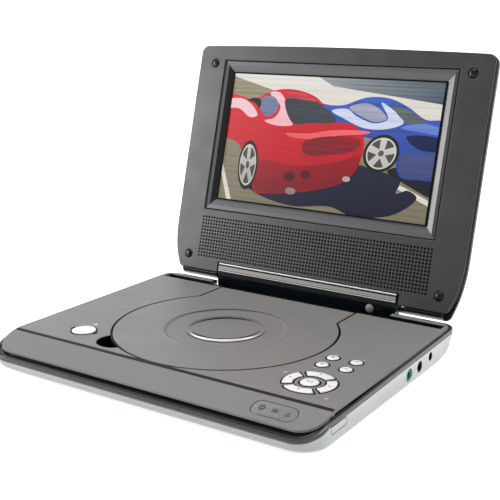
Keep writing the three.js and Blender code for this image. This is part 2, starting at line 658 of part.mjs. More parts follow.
function caseScrew(x, y) {
  const head = -BASE_HEIGHT + 0.4;
  const { headRadius, headDepth, shankRadius, length } = SCREW;
  const shape = turned([
    [0, head], [headRadius, head], [headRadius, head + headDepth], [shankRadius, head + headDepth],
    [shankRadius, head + length - 1], [0, head + length],
  ], x, y, SMALL);
  const slots = [box(x - 2, x + 2, y - 0.35, y + 0.35, head - 1, head + 0.8),
    box(x - 0.35, x + 0.35, y - 2, y + 2, head - 1, head + 0.8)];
  return cut(shape, ...slots);
}

// ---------------------------------------------------------------- hinge
const BUSH = { inner: 58, outer: 65, radius: 4.1, bore: 1.9 };
const SHAFT_RADIUS = 1.6;
const BARREL_RADIUS = 5.9;
const BARREL_PIN = { x: 50, z: -1.4, radius: 1.5, front: HINGE.y - 6, rear: HINGE.y - 3 };

function hingeBarrel() {
  const section = [[-10.4, -17], [-10.4, -11.2], [-4.7, -10.4], [-4.7, 0.5]];
  const facetTop = THREE.MathUtils.degToRad(120);
  const end = THREE.MathUtils.degToRad(-50);
  const steps = 10;
  for (let i = 0; i <= steps; i += 1) {
    const angle = facetTop + ((end - facetTop) * i) / steps;
    section.push([BARREL_RADIUS * Math.cos(angle), BARREL_RADIUS * Math.sin(angle)]);
  }
  section.push([-1, -11], [-1.6, -17]);
  const points = section.map(([y, z]) => [HINGE.y + y, HINGE.z + z]);
  const body = prismX(points, -BARREL_HALF_WIDTH, BARREL_HALF_WIDTH);
  const bores = SIDES.map((side) =>
    rodX(HINGE.y, HINGE.z, BUSH.radius + FIT, ...span(side, BUSH.inner - 1, 67), ROUND));
  const { x, z, radius, rear } = BARREL_PIN;
  return cut(body, ...bores, rodY(x, z, radius + FIT, HINGE.y - 9, rear + FIT));
}

// small round pin in the front of the barrel
function barrelPin() {
  const { x, z, radius, front, rear } = BARREL_PIN;
  return join(
    rodY(x, z, radius, front + 0.5, rear),
    rodY(x, z, radius * 0.7, front, front + 0.6),
  );
}

function hingeBush(side) {
  const ends = span(side, BUSH.inner, BUSH.outer);
  return cut(
    rodX(HINGE.y, HINGE.z, BUSH.radius, ends[0], ends[1], ROUND),
    rodX(HINGE.y, HINGE.z, BUSH.bore, ends[0] - 1, ends[1] + 1, SMALL),
  );
}

// steel shaft with the plate that carries the lid, in lid coordinates
function hingeArm(side) {
  const shaft = rodX(0, 0, SHAFT_RADIUS, ...span(side, 57.5, 72));
  const block = box(...span(side, 70.5, 74), -2.2, 4, -3, 1.7);
  const plate = box(...span(side, 70.5, 90), 1, 20, -3, -1.6);
  return join(shaft, block, plate);
}

// ---------------------------------------------------------------- screen lid
const PART_LINE = -0.8; // between the lid's front and back shells
const BACK_Z = FACE_Z - LID_THICKNESS;
const BUMPER = { x: 92, low: 7.5, high: 139.2, radius: 3.1, proud: 0.8 };
const GLASS = { halfWidth: 82.5, bottom: 39.4, top: 141.8, front: 1.4, back: -3.4 };
const SPEAKER = { x: 55, y: 21, radius: 12.5 };
const LID_CORNER = { footHalf: 98.2, topRadius: 5, taperTop: 30 };

// outline of the lid; bottom is the height of its lower edge
function lidOutline(bottom) {
  const w = LID_HALF_WIDTH;
  const { footHalf, topRadius, taperTop } = LID_CORNER;
  const shape = new THREE.Shape();
  shape.moveTo(-footHalf + 3, bottom);
  shape.lineTo(footHalf - 3, bottom);
  shape.quadraticCurveTo(footHalf + 0.4, bottom, footHalf + 1.4, bottom + 4.5);
  shape.quadraticCurveTo(w, 12, w, taperTop);
  shape.lineTo(w, LID_TOP - topRadius);
  shape.absarc(w - topRadius, LID_TOP - topRadius, topRadius, 0, Math.PI / 2 - 0.02, false);
  shape.quadraticCurveTo(0, LID_TOP + 2 * LID_CROWN, -w + topRadius, LID_TOP);
  shape.absarc(-w + topRadius, LID_TOP - topRadius, topRadius, Math.PI / 2 + 0.02, Math.PI, false);
  shape.lineTo(-w, taperTop);
  shape.quadraticCurveTo(-w, 12, -footHalf - 1.4, bottom + 4.5);
  shape.quadraticCurveTo(-footHalf - 0.4, bottom, -footHalf + 3, bottom);
  return shape;
}

// the outline drawn in by an inset, as a ring at height z
function lidRing(bottom, inset, z) {
  const middle = (LID_TOP + bottom) / 2;
  const scaleX = 1 - inset / LID_HALF_WIDTH;
  const scaleY = 1 - inset / ((LID_TOP - bottom) / 2);
  const points = lidOutline(bottom).extractPoints(4).shape;
  return points.map((p) => new THREE.Vector3(p.x * scaleX, middle + (p.y - middle) * scaleY, z));
}

// room for the hinge barrel in the lid's lower edge
const barrelNotch = (z0, z1) => join(
  box(-LID_NOTCH.halfWidth, LID_NOTCH.halfWidth, -20, LID_NOTCH.top, z0, z1),
  rodX(0, 0, BARREL_RADIUS + 0.5, -LID_NOTCH.halfWidth, LID_NOTCH.halfWidth, 24),
);
// room for the end of each hinge arm
const armRoom = (side, outer, y0, y1, z0, z1) => box(...span(side, 66, outer), y0, y1, z0, z1);

function lidBezel() {
  const shell = cut(
    loft([
      lidRing(FACE_BOTTOM, 0, PART_LINE), lidRing(FACE_BOTTOM, 0, FACE_Z - 0.8), lidRing(FACE_BOTTOM, 0.8, FACE_Z),
    ]),
    loft([lidRing(FACE_BOTTOM, WALL, PART_LINE - 1), lidRing(FACE_BOTTOM, WALL, FACE_Z - 2.4)]),
  );
  const glassStop = GLASS.front + GAP;
  const frame = box(
    -REVEAL.halfWidth - 2, REVEAL.halfWidth + 2, REVEAL.bottom - 2, REVEAL.top + 2, glassStop, FACE_Z - 1,
  );
  const opening = reveal();
  const pockets = [];
  for (const side of SIDES) {
    for (const y of [BUMPER.low, BUMPER.high]) {
      pockets.push(rodZ(side * BUMPER.x, y, BUMPER.radius + GAP, FACE_Z - 1.4, FACE_Z + 1, 16));
    }
  }
  const arms = SIDES.map((side) => armRoom(side, 74.5, -3, 5, -2, 2.1));
  return cut(join(shell, frame), opening, ...pockets, ...arms, barrelNotch(-5, 9));
}

// the sloping frame round the picture: wide at the face, narrow at the glass
function reveal() {
  const ring = (halfWidth, bottom, top, z) => [
    [-halfWidth, bottom], [halfWidth, bottom], [halfWidth, top], [-halfWidth, top],
  ].map(([x, y]) => new THREE.Vector3(x, y, z));
  return loft([
    ring(WINDOW.halfWidth, WINDOW.bottom, WINDOW.top, GLASS.front - 1),
    ring(WINDOW.halfWidth, WINDOW.bottom, WINDOW.top, FACE_Z - REVEAL.depth),
    ring(REVEAL.halfWidth, REVEAL.bottom, REVEAL.top, FACE_Z - 0.4),
    ring(REVEAL.halfWidth, REVEAL.bottom, REVEAL.top, FACE_Z + 1),
  ]);
}

function lidBackBody(inset, back, front) {
  const rings = [];
  const steps = 3;
  const curve = { depth: 8, inset: 9 };
  const bottom = CHIN_BOTTOM + inset;
  for (let i = steps; i >= 0; i -= 1) {
    const angle = (i / steps) * (Math.PI / 2);
    const z = back + curve.depth * (1 - Math.sin(angle));
    rings.push(lidRing(bottom, inset + curve.inset * (1 - Math.cos(angle)), z));
  }
  rings.push(lidRing(bottom, inset, front));
  return loft(rings);
}

function lidBack() {
  const top = PART_LINE - GAP;
  const shell = cut(lidBackBody(0, BACK_Z, top), lidBackBody(WALL, BACK_Z + WALL, top + 1));
  const chin = prismX([
    [FACE_BOTTOM - GAP, top - 2], [FACE_BOTTOM - GAP, FACE_Z - 0.4], [FACE_BOTTOM - 1.2, FACE_Z - 0.4],
    [CHIN_BOTTOM + 1.6, FACE_Z - 2], [CHIN_BOTTOM + 0.3, 0], [CHIN_BOTTOM + 0.3, top - 2],
  ], -96.5, 96.5);
  const notchWalls = SIDES.map((side) => box(...span(side, 66.5, 68.8), CHIN_BOTTOM + 1, 12, BACK_Z + 1, top));
  const ceiling = box(-68.8, 68.8, LID_NOTCH.top - 0.5, LID_NOTCH.top + 3, BACK_Z + 1, top);
  const inside = loft([
    lidRing(CHIN_BOTTOM, 0.5, BACK_Z + 0.5), lidRing(CHIN_BOTTOM, 0.5, FACE_Z + 1),
  ]);
  const extras = join(chin, ...notchWalls, ceiling).intersect(join(inside, lidBackBody(0, BACK_Z, top)));
  const shaftHole = rodX(0, 0, SHAFT_RADIUS + GAP, -76, 76);
  const armPocket = join(...SIDES.map((side) => armRoom(side, 90.5, -2.7, 20.5, -3.4, 6)));
  return cut(join(shell, extras.intersect(lidLimit())), barrelNotch(BACK_Z - 2, 9), shaftHole, armPocket);
}

// everything of the back shell stays inside this outer form
function lidLimit() {
  return loft([
    lidRing(CHIN_BOTTOM, 9, BACK_Z), lidRing(CHIN_BOTTOM, 0.05, BACK_Z + 8), lidRing(CHIN_BOTTOM, 0.05, FACE_Z),
  ]);
}

function lcdPanel() {
  return box(-GLASS.halfWidth, GLASS.halfWidth, GLASS.bottom, GLASS.top, GLASS.back, GLASS.front);
}

function lcdFrame() {
  const { halfWidth, bottom, top, back } = GLASS;
  const tray = box(-halfWidth - 1.4, halfWidth + 1.4, bottom - 1.4, top + 1.4, back - 1, 0.9);
  const room = box(-halfWidth - GAP, halfWidth + GAP, bottom - GAP, top + GAP, back - GAP, 5);
  return cut(tray, room);
}

function speaker(side) {
  const profile = [
    [0, -7.6], [8, -7.6], [8, -4.6], [SPEAKER.radius, -3], [SPEAKER.radius, 1.4],
    [SPEAKER.radius - 1.4, 1.4], [SPEAKER.radius - 1.8, 0.8], [4, -1.6], [0, -0.9],
  ];
  return turned(profile, side * SPEAKER.x, SPEAKER.y);
}

function lidBoard() {
  return join(
    box(-60, 20, 52, 112, -7, -5.6),
    box(-40, -22, 70, 88, -8.2, -6.9),
    box(-5, 12, 90, 104, -8, -6.9),
  );
}

function bumper(x, y) {
  const { radius, proud } = BUMPER;
  return turned([
    [0, FACE_Z - 1.1], [radius, FACE_Z - 1.1], [radius, FACE_Z - 0.2], [radius * 0.75, FACE_Z + proud * 0.7],
    [radius * 0.35, FACE_Z + proud], [0, FACE_Z + proud],
  ], x, y, 16);
}

// ---------------------------------------------------------------- put the base together
place(base, 'lower_case', lowerCase(), LOOK.silver);
place(base, 'side_band', sideBand(), LOOK.band);
place(base, 'upper_case', upperCase(), LOOK.deck);
place(base, 'disc_tray', discTray(), LOOK.black);
place(base, 'disc_lid', discLid(), LOOK.deck);
place(base, 'disc_latch', discLatch(), LOOK.grey);
place(base, 'open_button', openButton(), LOOK.white);
ROUND_KEYS.forEach(([x, y], i) => {
  place(base, `round_key_${i + 1}`, roundKey(x, y, ROUND_KEY_RADIUS), LOOK.white);
});
['right', 'rear', 'left', 'front'].forEach((name, i) => {
  place(base, `pad_key_${name}`, padKey(i * 90), LOOK.white);
});
place(base, 'pad_key_centre', roundKey(PAD.x, PAD.y, PAD.centre), LOOK.white);
place(base, 'drive_chassis', driveChassis(), LOOK.steel);
place(base, 'spindle_motor', spindleMotor(), LOOK.steel);
place(base, 'turntable', turntable(), LOOK.grey);
[['front', -1], ['rear', 1]].forEach(([name, side]) => place(
  base, `guide_rod_${name}`,
  rodX(DISC.y + side * ROD.offset, ROD.z, ROD.radius, DISC.x + ROD.start, DISC.x + ROD.end), LOOK.steel,
));
place(base, 'pickup_sled', pickupSled(), LOOK.grey);
place(base, 'pickup_lens', pickupLens(), LOOK.smoke);
place(base, 'sled_gear', sledGear(), LOOK.white);
place(base, 'sled_motor', sledMotor(), LOOK.steel);
place(base, 'main_board', mainBoard(), LOOK.board);
place(base, 'key_board', keyBoard(), LOOK.board);
place(base, 'battery_pack', batteryPack(), LOOK.cell);
place(base, 'lid_switch', lidSwitch(), LOOK.black);
place(base, 'headphone_jack', jack(JACKS.headphone_jack), JACKS.headphone_jack.look);
place(base, 'av_jack', jack(JACKS.av_jack), JACKS.av_jack.look);
place(base, 'dc_inlet', dcInlet(JACKS.dc_inlet), JACKS.dc_inlet.look);
place(base, 'port_cover', portCover(), LOOK.silver);
place(base, 'indicator_window', indicatorWindow(), LOOK.smoke);
FOOT_SPOTS.forEach(([name, x, y]) => place(base, `foot_${name}`, foot(x, y), LOOK.rubber));
SCREW_SPOTS.forEach(([x, y], i) => place(base, `case_screw_${i + 1}`, caseScrew(x, y), LOOK.steel));
place(base, 'hinge_barrel', hingeBarrel(), LOOK.black);
place(base, 'barrel_pin', barrelPin(), LOOK.grey);
place(base, 'hinge_bush_left', hingeBush(-1), LOOK.brass);
place(base, 'hinge_bush_right', hingeBush(1), LOOK.brass);

// ---------------------------------------------------------------- put the lid together
place(lid, 'lid_bezel', lidBezel(), LOOK.lidGrey);
place(lid, 'lid_back', lidBack(), LOOK.black);
place(lid, 'lcd_panel', lcdPanel(), LOOK.screen);
place(lid, 'lcd_frame', lcdFrame(), LOOK.steel);
place(lid, 'lid_board', lidBoard(), LOOK.board);
place(lid, 'speaker_left', speaker(-1), LOOK.black);
place(lid, 'speaker_right', speaker(1), LOOK.black);
place(lid, 'hinge_arm_left', hingeArm(-1), LOOK.steel);
place(lid, 'hinge_arm_right', hingeArm(1), LOOK.steel);
[['lower', BUMPER.low], ['upper', BUMPER.high]].forEach(([row, y]) => {
  place(lid, `bumper_${row}_left`, bumper(-BUMPER.x, y), LOOK.rubber);
  place(lid, `bumper_${row}_right`, bumper(BUMPER.x, y), LOOK.rubber);
});

// ---------------------------------------------------------------- stand the player on its feet
lid.position.set(0, HINGE.y, HINGE.z);
lid.rotation.x = Math.PI / 2 - TILT;

const player = new THREE.Group();
player.add(base, lid);
player.updateMatrixWorld(true);
const bounds = new THREE.Box3().setFromObject(player, true);
player.position.set(0, -(bounds.min.y + bounds.max.y) / 2, -bounds.min.z);
player.updateMatrixWorld(true);

export default player;
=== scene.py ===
import math

import bmesh
import bpy
from mathutils import Matrix, Vector
from mathutils.geometry import tessellate_polygon


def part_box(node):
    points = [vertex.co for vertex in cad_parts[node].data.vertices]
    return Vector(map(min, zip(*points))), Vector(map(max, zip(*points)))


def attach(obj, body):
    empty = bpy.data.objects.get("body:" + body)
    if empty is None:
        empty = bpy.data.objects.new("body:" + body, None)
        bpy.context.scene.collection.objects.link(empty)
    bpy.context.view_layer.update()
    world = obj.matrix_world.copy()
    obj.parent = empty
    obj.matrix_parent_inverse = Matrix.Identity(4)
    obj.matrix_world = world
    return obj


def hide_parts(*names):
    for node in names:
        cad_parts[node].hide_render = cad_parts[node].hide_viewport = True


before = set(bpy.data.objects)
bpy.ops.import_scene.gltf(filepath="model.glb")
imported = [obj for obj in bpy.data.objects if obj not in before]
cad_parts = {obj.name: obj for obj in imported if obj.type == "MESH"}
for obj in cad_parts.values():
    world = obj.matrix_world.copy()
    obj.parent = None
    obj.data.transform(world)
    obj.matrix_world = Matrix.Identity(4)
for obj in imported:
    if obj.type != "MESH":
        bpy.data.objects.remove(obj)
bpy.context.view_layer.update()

# ---------------------------------------------------------------- driving dimensions
MM = 0.001
BASE_HALF = 105.2
BASE_FRONT, BASE_REAR = -124.0, 44.0
BASE_CORNERS = (14.0, 9.0)
CREASE_Y = -102.4
BAND_SLOPE = 0.325
PLATE_HALF, PLATE_FRONT, PLATE_REAR = 103.4, -120.3, 40.0
PLATE_THICKNESS = 2.2
UNDERSIDE_START, UNDERSIDE = -10.6, -20.6
UNDERSIDE_INSET = (10.0, 18.0, 13.0)  # at the sides, front and rear
REAR_LEAN = 0.75  # how far the rear wall leans in for each millimetre down
CHANNEL_HALF, CHANNEL_FRONT, CHANNEL_REAR, CHANNEL_FLOOR = 100.5, 29.5, 36.2, -7.0

DISC_X, DISC_Y = -2.7, -36.4
DISC_LID_RADIUS = 65.6
NECK_HALF, NECK_REAR, NECK_FLARE = 50.0, 28.8, 6.0
FLARE_ANGLE = math.asin(34.6 / DISC_LID_RADIUS)
SEAM = 1.35
DISC_LID_THICKNESS = 2.0
NOTCH_X, NOTCH_Y, NOTCH_RADIUS = -41.0, -88.0, 10.5
PIVOT_Y, PIVOT_Z = 23.0, -5.0
DISH_RADIUS, DISH_FLOOR = 34.6, -0.55  # sunk middle of the disc lid
RAMP_RADIUS, RAMP_RISE = 20.8, 0.95  # tilted disc in the dish
RAMP_WAY = math.radians(123)  # where its sunk side lies

OPEN_X, OPEN_Y, OPEN_RADIUS = -67.5, -84.5, 6.9
ROUND_KEYS = [(71.5, -44.8), (85.0, -44.3), (71.5, -56.3), (85.0, -55.8)]
ROUND_KEY_RADIUS = 3.3
PAD_X, PAD_Y = 78.0, -80.5
PAD_INNER, PAD_OUTER, PAD_CENTRE, PAD_HALF_ANGLE = 8.5, 13.7, 4.8, math.radians(37)
PAD_MIDDLE = (PAD_INNER + PAD_OUTER) / 2
PAD_WAYS = ("right", "rear", "left", "front")
KEY_PROUD = 0.6
KEY_GAP = 0.85  # round each key in the deck
KEY_FLANGE_TOP, KEY_FLANGE_BOTTOM, KEY_FOOT = -2.5, -3.2, -4.1
KEY_STEM = [(0, KEY_FOOT), (1.6, KEY_FOOT), (1.6, KEY_FLANGE_BOTTOM)]  # (radius, z)
INDICATOR_X, INDICATOR_Y, INDICATOR_LENGTH, INDICATOR_DEPTH = 77.5, -112.2, 24.0, 9.2

TILT = math.radians(15.1)
HINGE_Y, HINGE_Z = 48.66, 5.2
FACE_Z, PART_LINE, LID_BACK_Z = 4.2, -0.8, -10.8
LID_HALF, LID_TOP, LID_CROWN = 104.7, 151.0, 1.2
FACE_BOTTOM, CHIN_BOTTOM, LID_FOOT_HALF = -2.2, -6.7, 98.2
LID_NOTCH_HALF, LID_NOTCH_TOP = 66.8, 5.0
WINDOW = (-76.6, 76.6, 47.2, 134.0)
REVEAL = (-84.0, 84.0, 39.6, 141.5)
GLASS_Z = 1.4
GRILLE = (-84.4, 84.4, 6.4, 35.26)
GRILLE_COLUMNS, GRILLE_ROWS, GRILLE_HOLE = 76, 13, 0.74
BUMPERS = {
    "upper_left": (-92.0, 139.2), "upper_right": (92.0, 139.2),
    "lower_left": (-91.7, 7.5), "lower_right": (91.7, 7.5),
}
BUMPER_RADIUS = 2.75
BARREL_HALF, BARREL_RADIUS = 65.5, 5.9

# deck coordinates and lid coordinates, both in millimetres, to the frame in metres
deck_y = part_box("lower_case")[1].y / MM - BASE_REAR
deck_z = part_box("upper_case")[1].z / MM
TO_METRES = Matrix.Scale(MM, 4)
DECK = TO_METRES @ Matrix.Translation((0, deck_y, deck_z))
LID = DECK @ Matrix.Translation((0, HINGE_Y, HINGE_Z)) @ Matrix.Rotation(math.pi / 2 - TILT, 4, "X")


# ---------------------------------------------------------------- outlines, counter-clockwise [x, y] points
def arc(x, y, radius, start, end, steps):
    """Points on an arc; angles in radians."""
    angles = [start + (end - start) * i / steps for i in range(steps + 1)]
    return [(x + radius * math.cos(a), y + radius * math.sin(a)) for a in angles]


def circle(x, y, radius, steps=64):
    return arc(x, y, radius, 0, 2 * math.pi, steps)[:-1]


def rounded(x0, x1, y0, y1, front, rear=None, steps=12):
    """A rectangle with one corner radius at the front and another at the rear."""
    rear = front if rear is None else rear
    quarter = math.pi / 2
    return (
        arc(x1 - front, y0 + front, front, -quarter, 0, steps)
        + arc(x1 - rear, y1 - rear, rear, 0, quarter, steps)
        + arc(x0 + rear, y1 - rear, rear, quarter, 2 * quarter, steps)
        + arc(x0 + front, y0 + front, front, 2 * quarter, 3 * quarter, steps)
    )


def blended(a, b, share):
    return a + (b - a) * share


def without_repeats(points):
    kept = []
    for p in points:
        if not kept or math.dist(p, kept[-1]) > 1e-4:
            kept.append(p)
    if math.dist(kept[0], kept[-1]) < 1e-4:
        kept.pop()
    return kept


def grown(points, distance):
    """The loop pushed outwards by a distance, or inwards when it is negative."""
    result = []
    for i, (x, y) in enumerate(points):
        px, py = points[i - 1]
        nx, ny = points[(i + 1) % len(points)]
        before = Vector((y - py, px - x)).normalized()
        after = Vector((ny - y, x - nx)).normalized()
        push = (before + after) / max(0.3, 1 + before.dot(after))
        result.append((x + push.x * distance, y + push.y * distance))
    return result


def circle_meeting(x0, y0, r0, x1, y1, r1):
    """The angles on circle 0, as seen from its centre, where circle 1 crosses it."""
    gap = math.hypot(x1 - x0, y1 - y0)
    middle = math.atan2(y1 - y0, x1 - x0)
    spread = math.acos((r0 * r0 + gap * gap - r1 * r1) / (2 * r0 * gap))
    return middle - spread, middle + spread


def bay_outline(grow, rear, notch=False):
    """The disc lid's outline: a circle that runs into a straight neck at the rear."""
    radius = DISC_LID_RADIUS + grow
    half = NECK_HALF + grow
    start, end = math.pi - FLARE_ANGLE, 2 * math.pi + FLARE_ANGLE
    left, right = DISC_X - half, DISC_X + half
    points = [(right, NECK_FLARE), (right, rear), (left, rear), (left, NECK_FLARE)]
    if notch:
        low, high = circle_meeting(DISC_X, DISC_Y, radius, NOTCH_X, NOTCH_Y, NOTCH_RADIUS)
        back, front = circle_meeting(NOTCH_X, NOTCH_Y, NOTCH_RADIUS, DISC_X, DISC_Y, radius)
        low, high = low % (2 * math.pi), high % (2 * math.pi)
        points += arc(DISC_X, DISC_Y, radius, start, low, 24)
        points += arc(NOTCH_X, NOTCH_Y, NOTCH_RADIUS, front, back + 2 * math.pi, 40)
        points += arc(DISC_X, DISC_Y, radius, high, end, 110)
    else:
        points += arc(DISC_X, DISC_Y, radius, start, end, 150)
    return without_repeats(points)


def pad_key_outline(direction, grow):
    half = PAD_HALF_ANGLE + grow * 0.09
    start, end = direction - half, direction + half
    return (
        arc(PAD_X, PAD_Y, PAD_OUTER + grow, start, end, 16)
        + arc(PAD_X, PAD_Y, PAD_INNER - grow, end, start, 12)
    )


def quadratic(a, b, c, steps=8):
    """Points on a quadratic curve from a to c, steered by b; a itself is left out."""
    points = []
    for i in range(1, steps + 1):
        t = i / steps
        points.append(tuple((1 - t) ** 2 * p + 2 * t * (1 - t) * q + t * t * r for p, q, r in zip(a, b, c)))
    return points


def lid_outline(bottom):
    """Outline of the lid: rounded top corners, a crowned top edge, tapering lower corners."""
    w, foot, corner = LID_HALF, LID_FOOT_HALF, 5.0
    right = [(foot - 3, bottom)]
    right += quadratic(right[-1], (foot + 0.4, bottom), (foot + 1.4, bottom + 4.5), 6)
    right += quadratic(right[-1], (w, 12), (w, 30), 10)
    right += arc(w - corner, LID_TOP - corner, corner, 0, math.pi / 2, 8)
    crown = quadratic((w - corner, LID_TOP), (0, LID_TOP + 2 * LID_CROWN), (-w + corner, LID_TOP), 16)
    left = [(-x, y) for x, y in reversed(right)]
    return without_repeats(right + crown[:-1] + left)


def deck_height(y, depth=0.0):
    """Height of the deck, flat and then falling to the front, with a softened crease."""
    run = CREASE_Y - y
    soft = 2.5
    if run <= -soft:
        return -depth
    if run >= soft:
        return -run * BAND_SLOPE - depth
    return -BAND_SLOPE * (run + soft) ** 2 / (4 * soft) - depth


def past_crease(y):
    """How far a place lies in front of the crease."""
    return max(0.0, CREASE_Y - y)


def groove(y):
    """Depth of the fine line pressed along the crease."""
    return 1.0 * math.exp(-((y - CREASE_Y) / 0.85) ** 2)


def frame_outline(box, grow):
    x0, x1, y0, y1 = box
    return [(x0 - grow, y0 - grow), (x1 + grow, y0 - grow), (x1 + grow, y1 + grow), (x0 - grow, y1 + grow)]


def anticlockwise(points):
    area = sum(points[i - 1][0] * p[1] - p[0] * points[i - 1][1] for i, p in enumerate(points))
    return points if area > 0 else points[::-1]


# ---------------------------------------------------------------- shapes: (vertices, faces)
def together(*shapes):
    verts, faces = [], []
    for v, f in shapes:
        start = len(verts)
        verts += v
        faces += [tuple(start + i for i in face) for face in f]
    return verts, faces


def bridge(start_a, start_b, count):
    """Four-sided faces between two rings of vertices."""
    following = [(i + 1) % count for i in range(count)]
    return [(start_a + i, start_a + j, start_b + j, start_b + i) for i, j in enumerate(following)]


def cap(loops, starts, flip=False):
    """Triangles over flat loops, the first the outer one, at these places in the vertex list."""
    index = [start + i for loop, start in zip(loops, starts) for i in range(len(loop))]
    triangles = tessellate_polygon([[Vector((p[0], p[1], 0)) for p in loop] for loop in loops])
    return [tuple(index[i] for i in (reversed(t) if flip else t)) for t in triangles]


def loft(rings, closed=False):
    """A skin through rings of equal length; capped at both ends, or joined last to first."""
    verts = [p for ring in rings for p in ring]
    count = len(rings[0])
    faces = []
    for level in range(len(rings) - 1):
        faces += bridge(level * count, (level + 1) * count, count)
    last = (len(rings) - 1) * count
    if closed:
        faces += bridge(last, 0, count)
    else:
        faces += cap([rings[0]], [0], True) + cap([rings[-1]], [last])
    return verts, faces


def slab(outer, holes, top, bottom, edge=0.3, steps=3):
    """A flat plate with rounded upper edges round its rim and its holes."""
    verts, faces, tops, bottoms = [], [], [], []
    for loop, side in [(outer, -1)] + [(hole, 1) for hole in holes]:
        count = len(loop)
        tops.append(len(verts))
        for step in range(steps + 1):
            angle = math.pi / 2 * step / steps
            ring = grown(loop, side * edge * (1 - math.sin(angle)))
            verts += [(x, y, top - edge * (1 - math.cos(angle))) for x, y in ring]
        bottoms.append(len(verts))
        verts += [(x, y, bottom) for x, y in loop]
        for level in range(steps + 1):
            start = tops[-1] + level * count
            faces += bridge(start, start + count, count)
    loops = [outer] + list(holes)
    top_loops = [[verts[start + i] for i in range(len(loop))] for start, loop in zip(tops, loops)]
    faces += cap(top_loops, tops) + cap(loops, bottoms, True)
    return verts, faces


def lathe(profile, x, y, steps=48):
    """A turned shape; the profile lists (radius, z) from the lowest middle to the highest middle."""
    rings = [[(x + r * math.cos(a), y + r * math.sin(a), z)
              for a in (2 * math.pi * i / steps for i in range(steps))] for r, z in profile[1:-1]]
    verts = [p for ring in rings for p in ring] + [(x, y, profile[0][1]), (x, y, profile[-1][1])]
    faces = []
    for level in range(len(rings) - 1):
        faces += bridge(level * steps, (level + 1) * steps, steps)
    low, high = len(verts) - 2, len(verts) - 1
    last = (len(rings) - 1) * steps
    faces += [(low, (i + 1) % steps, i) for i in range(steps)]
    faces += [(high, last + i, last + (i + 1) % steps) for i in range(steps)]
    return verts, faces


def block(x0, x1, y0, y1, z0, z1):
    ring = [(x0, y0), (x1, y0), (x1, y1), (x0, y1)]
    return loft([[(x, y, z0) for x, y in ring], [(x, y, z1) for x, y in ring]])


def prism_x(section, x0, x1):
    """A prism along X; the section lists (y, z) points."""
    verts = [(x, y, z) for x in (x0, x1) for y, z in section]
    count = len(section)
    faces = bridge(0, count, count)
    faces += cap([section], [0], True) + cap([section], [count])
    return verts, faces


def rod_x(y, z, radius, x0, x1, steps=32):
    return prism_x(circle(y, z, radius, steps), x0, x1)


def swept(rings):
    """A bar whose section is carried along a path; a flat face closes each end."""
    count = len(rings[0])
    verts = [p for ring in rings for p in ring]
    faces = [f for i in range(len(rings) - 1) for f in bridge(count * i, count * (i + 1), count)]
    faces += [tuple(reversed(range(count))), tuple(len(verts) - count + k for k in range(count))]
    return verts, faces


def prism(points, z0, z1):
    return loft([[(x, y, z0) for x, y in points], [(x, y, z1) for x, y in points]])


def wall(outline, profile):
    """A closed skirt along an outline; profile(y) lists (outward offset, height) round its section."""
    rings = []
    for k, (offset, _) in enumerate(profile(0)):
        pushed = grown(outline, offset)
        rings.append([(px, py, profile(y)[k][1]) for (px, py), (x, y) in zip(pushed, outline)])
    return loft(rings, closed=True)


def outward(shape):
    """A shape drawn along Z turned to run along X: its X becomes Y and its Y becomes Z."""
    return [(z, x, y) for x, y, z in shape[0]], shape[1]


def along_front(shape, x, y, z):
    """A shape drawn along Z turned to face the front and moved to a place."""
    return [(px + x, y - pz, py + z) for px, py, pz in shape[0]], shape[1]


# ---------------------------------------------------------------- objects
# Each function below that starts with add_ makes one sub-part or one family of small pieces.
def make(name, shape):
    """An object in millimetres, its faces turned outwards."""
    mesh = bpy.data.meshes.new(name)
    mesh.from_pydata(shape[0], [], shape[1])
    obj = bpy.data.objects.new(name, mesh)
    bpy.context.scene.collection.objects.link(obj)
    with_bmesh(obj, tidy)
    return obj


def with_bmesh(obj, change):
    bm = bmesh.new()
    bm.from_mesh(obj.data)
    change(bm)
    bm.to_mesh(obj.data)
    bm.free()


def tidy(bm):
    bmesh.ops.remove_doubles(bm, verts=bm.verts, dist=1e-5)
    bmesh.ops.recalc_face_normals(bm, faces=bm.faces)


def apply_modifiers(obj):
    graph = bpy.context.evaluated_depsgraph_get()
    mesh = bpy.data.meshes.new_from_object(obj.evaluated_get(graph))
    obj.modifiers.clear()
    obj.data = mesh


def cut(obj, *shapes):
    """Cuts the shapes out of an object."""
    tools = []
    for i, shape in enumerate(shapes):
        tool = make(f"{obj.name}_tool_{i}", shape)
        tool.hide_render = True
        modifier = obj.modifiers.new("cut", "BOOLEAN")
        modifier.operation = "DIFFERENCE"
        modifier.solver = "EXACT"
        modifier.object = tool
        tools.append(tool)
    apply_modifiers(obj)
    for tool in tools:
        bpy.data.objects.remove(tool)


def bevel(obj, width, segments=2, angle=35):
    modifier = obj.modifiers.new("edges", "BEVEL")
    modifier.width = width
    modifier.segments = segments
    modifier.limit_method = "ANGLE"
    modifier.angle_limit = math.radians(angle)
    apply_modifiers(obj)


def bend_down(obj, thinning=1.1):
    """Turns a flat plate down over the crease of the deck and thins it towards the front."""
    def change(bm):
        bmesh.ops.triangulate(bm, faces=bm.faces)
        for y in (CREASE_Y + 0.3 * i for i in range(-8, 9)):
            parts = list(bm.verts) + list(bm.edges) + list(bm.faces)
            bmesh.ops.bisect_plane(bm, geom=parts, plane_co=(0, y, 0), plane_no=(0, 1, 0))
        for v in bm.verts:
            if v.co.z < -1.5:
                v.co.z += thinning * max(0.0, CREASE_Y - v.co.y) / (CREASE_Y - PLATE_FRONT)
            v.co.z += deck_height(v.co.y) - groove(v.co.y)
    with_bmesh(obj, change)


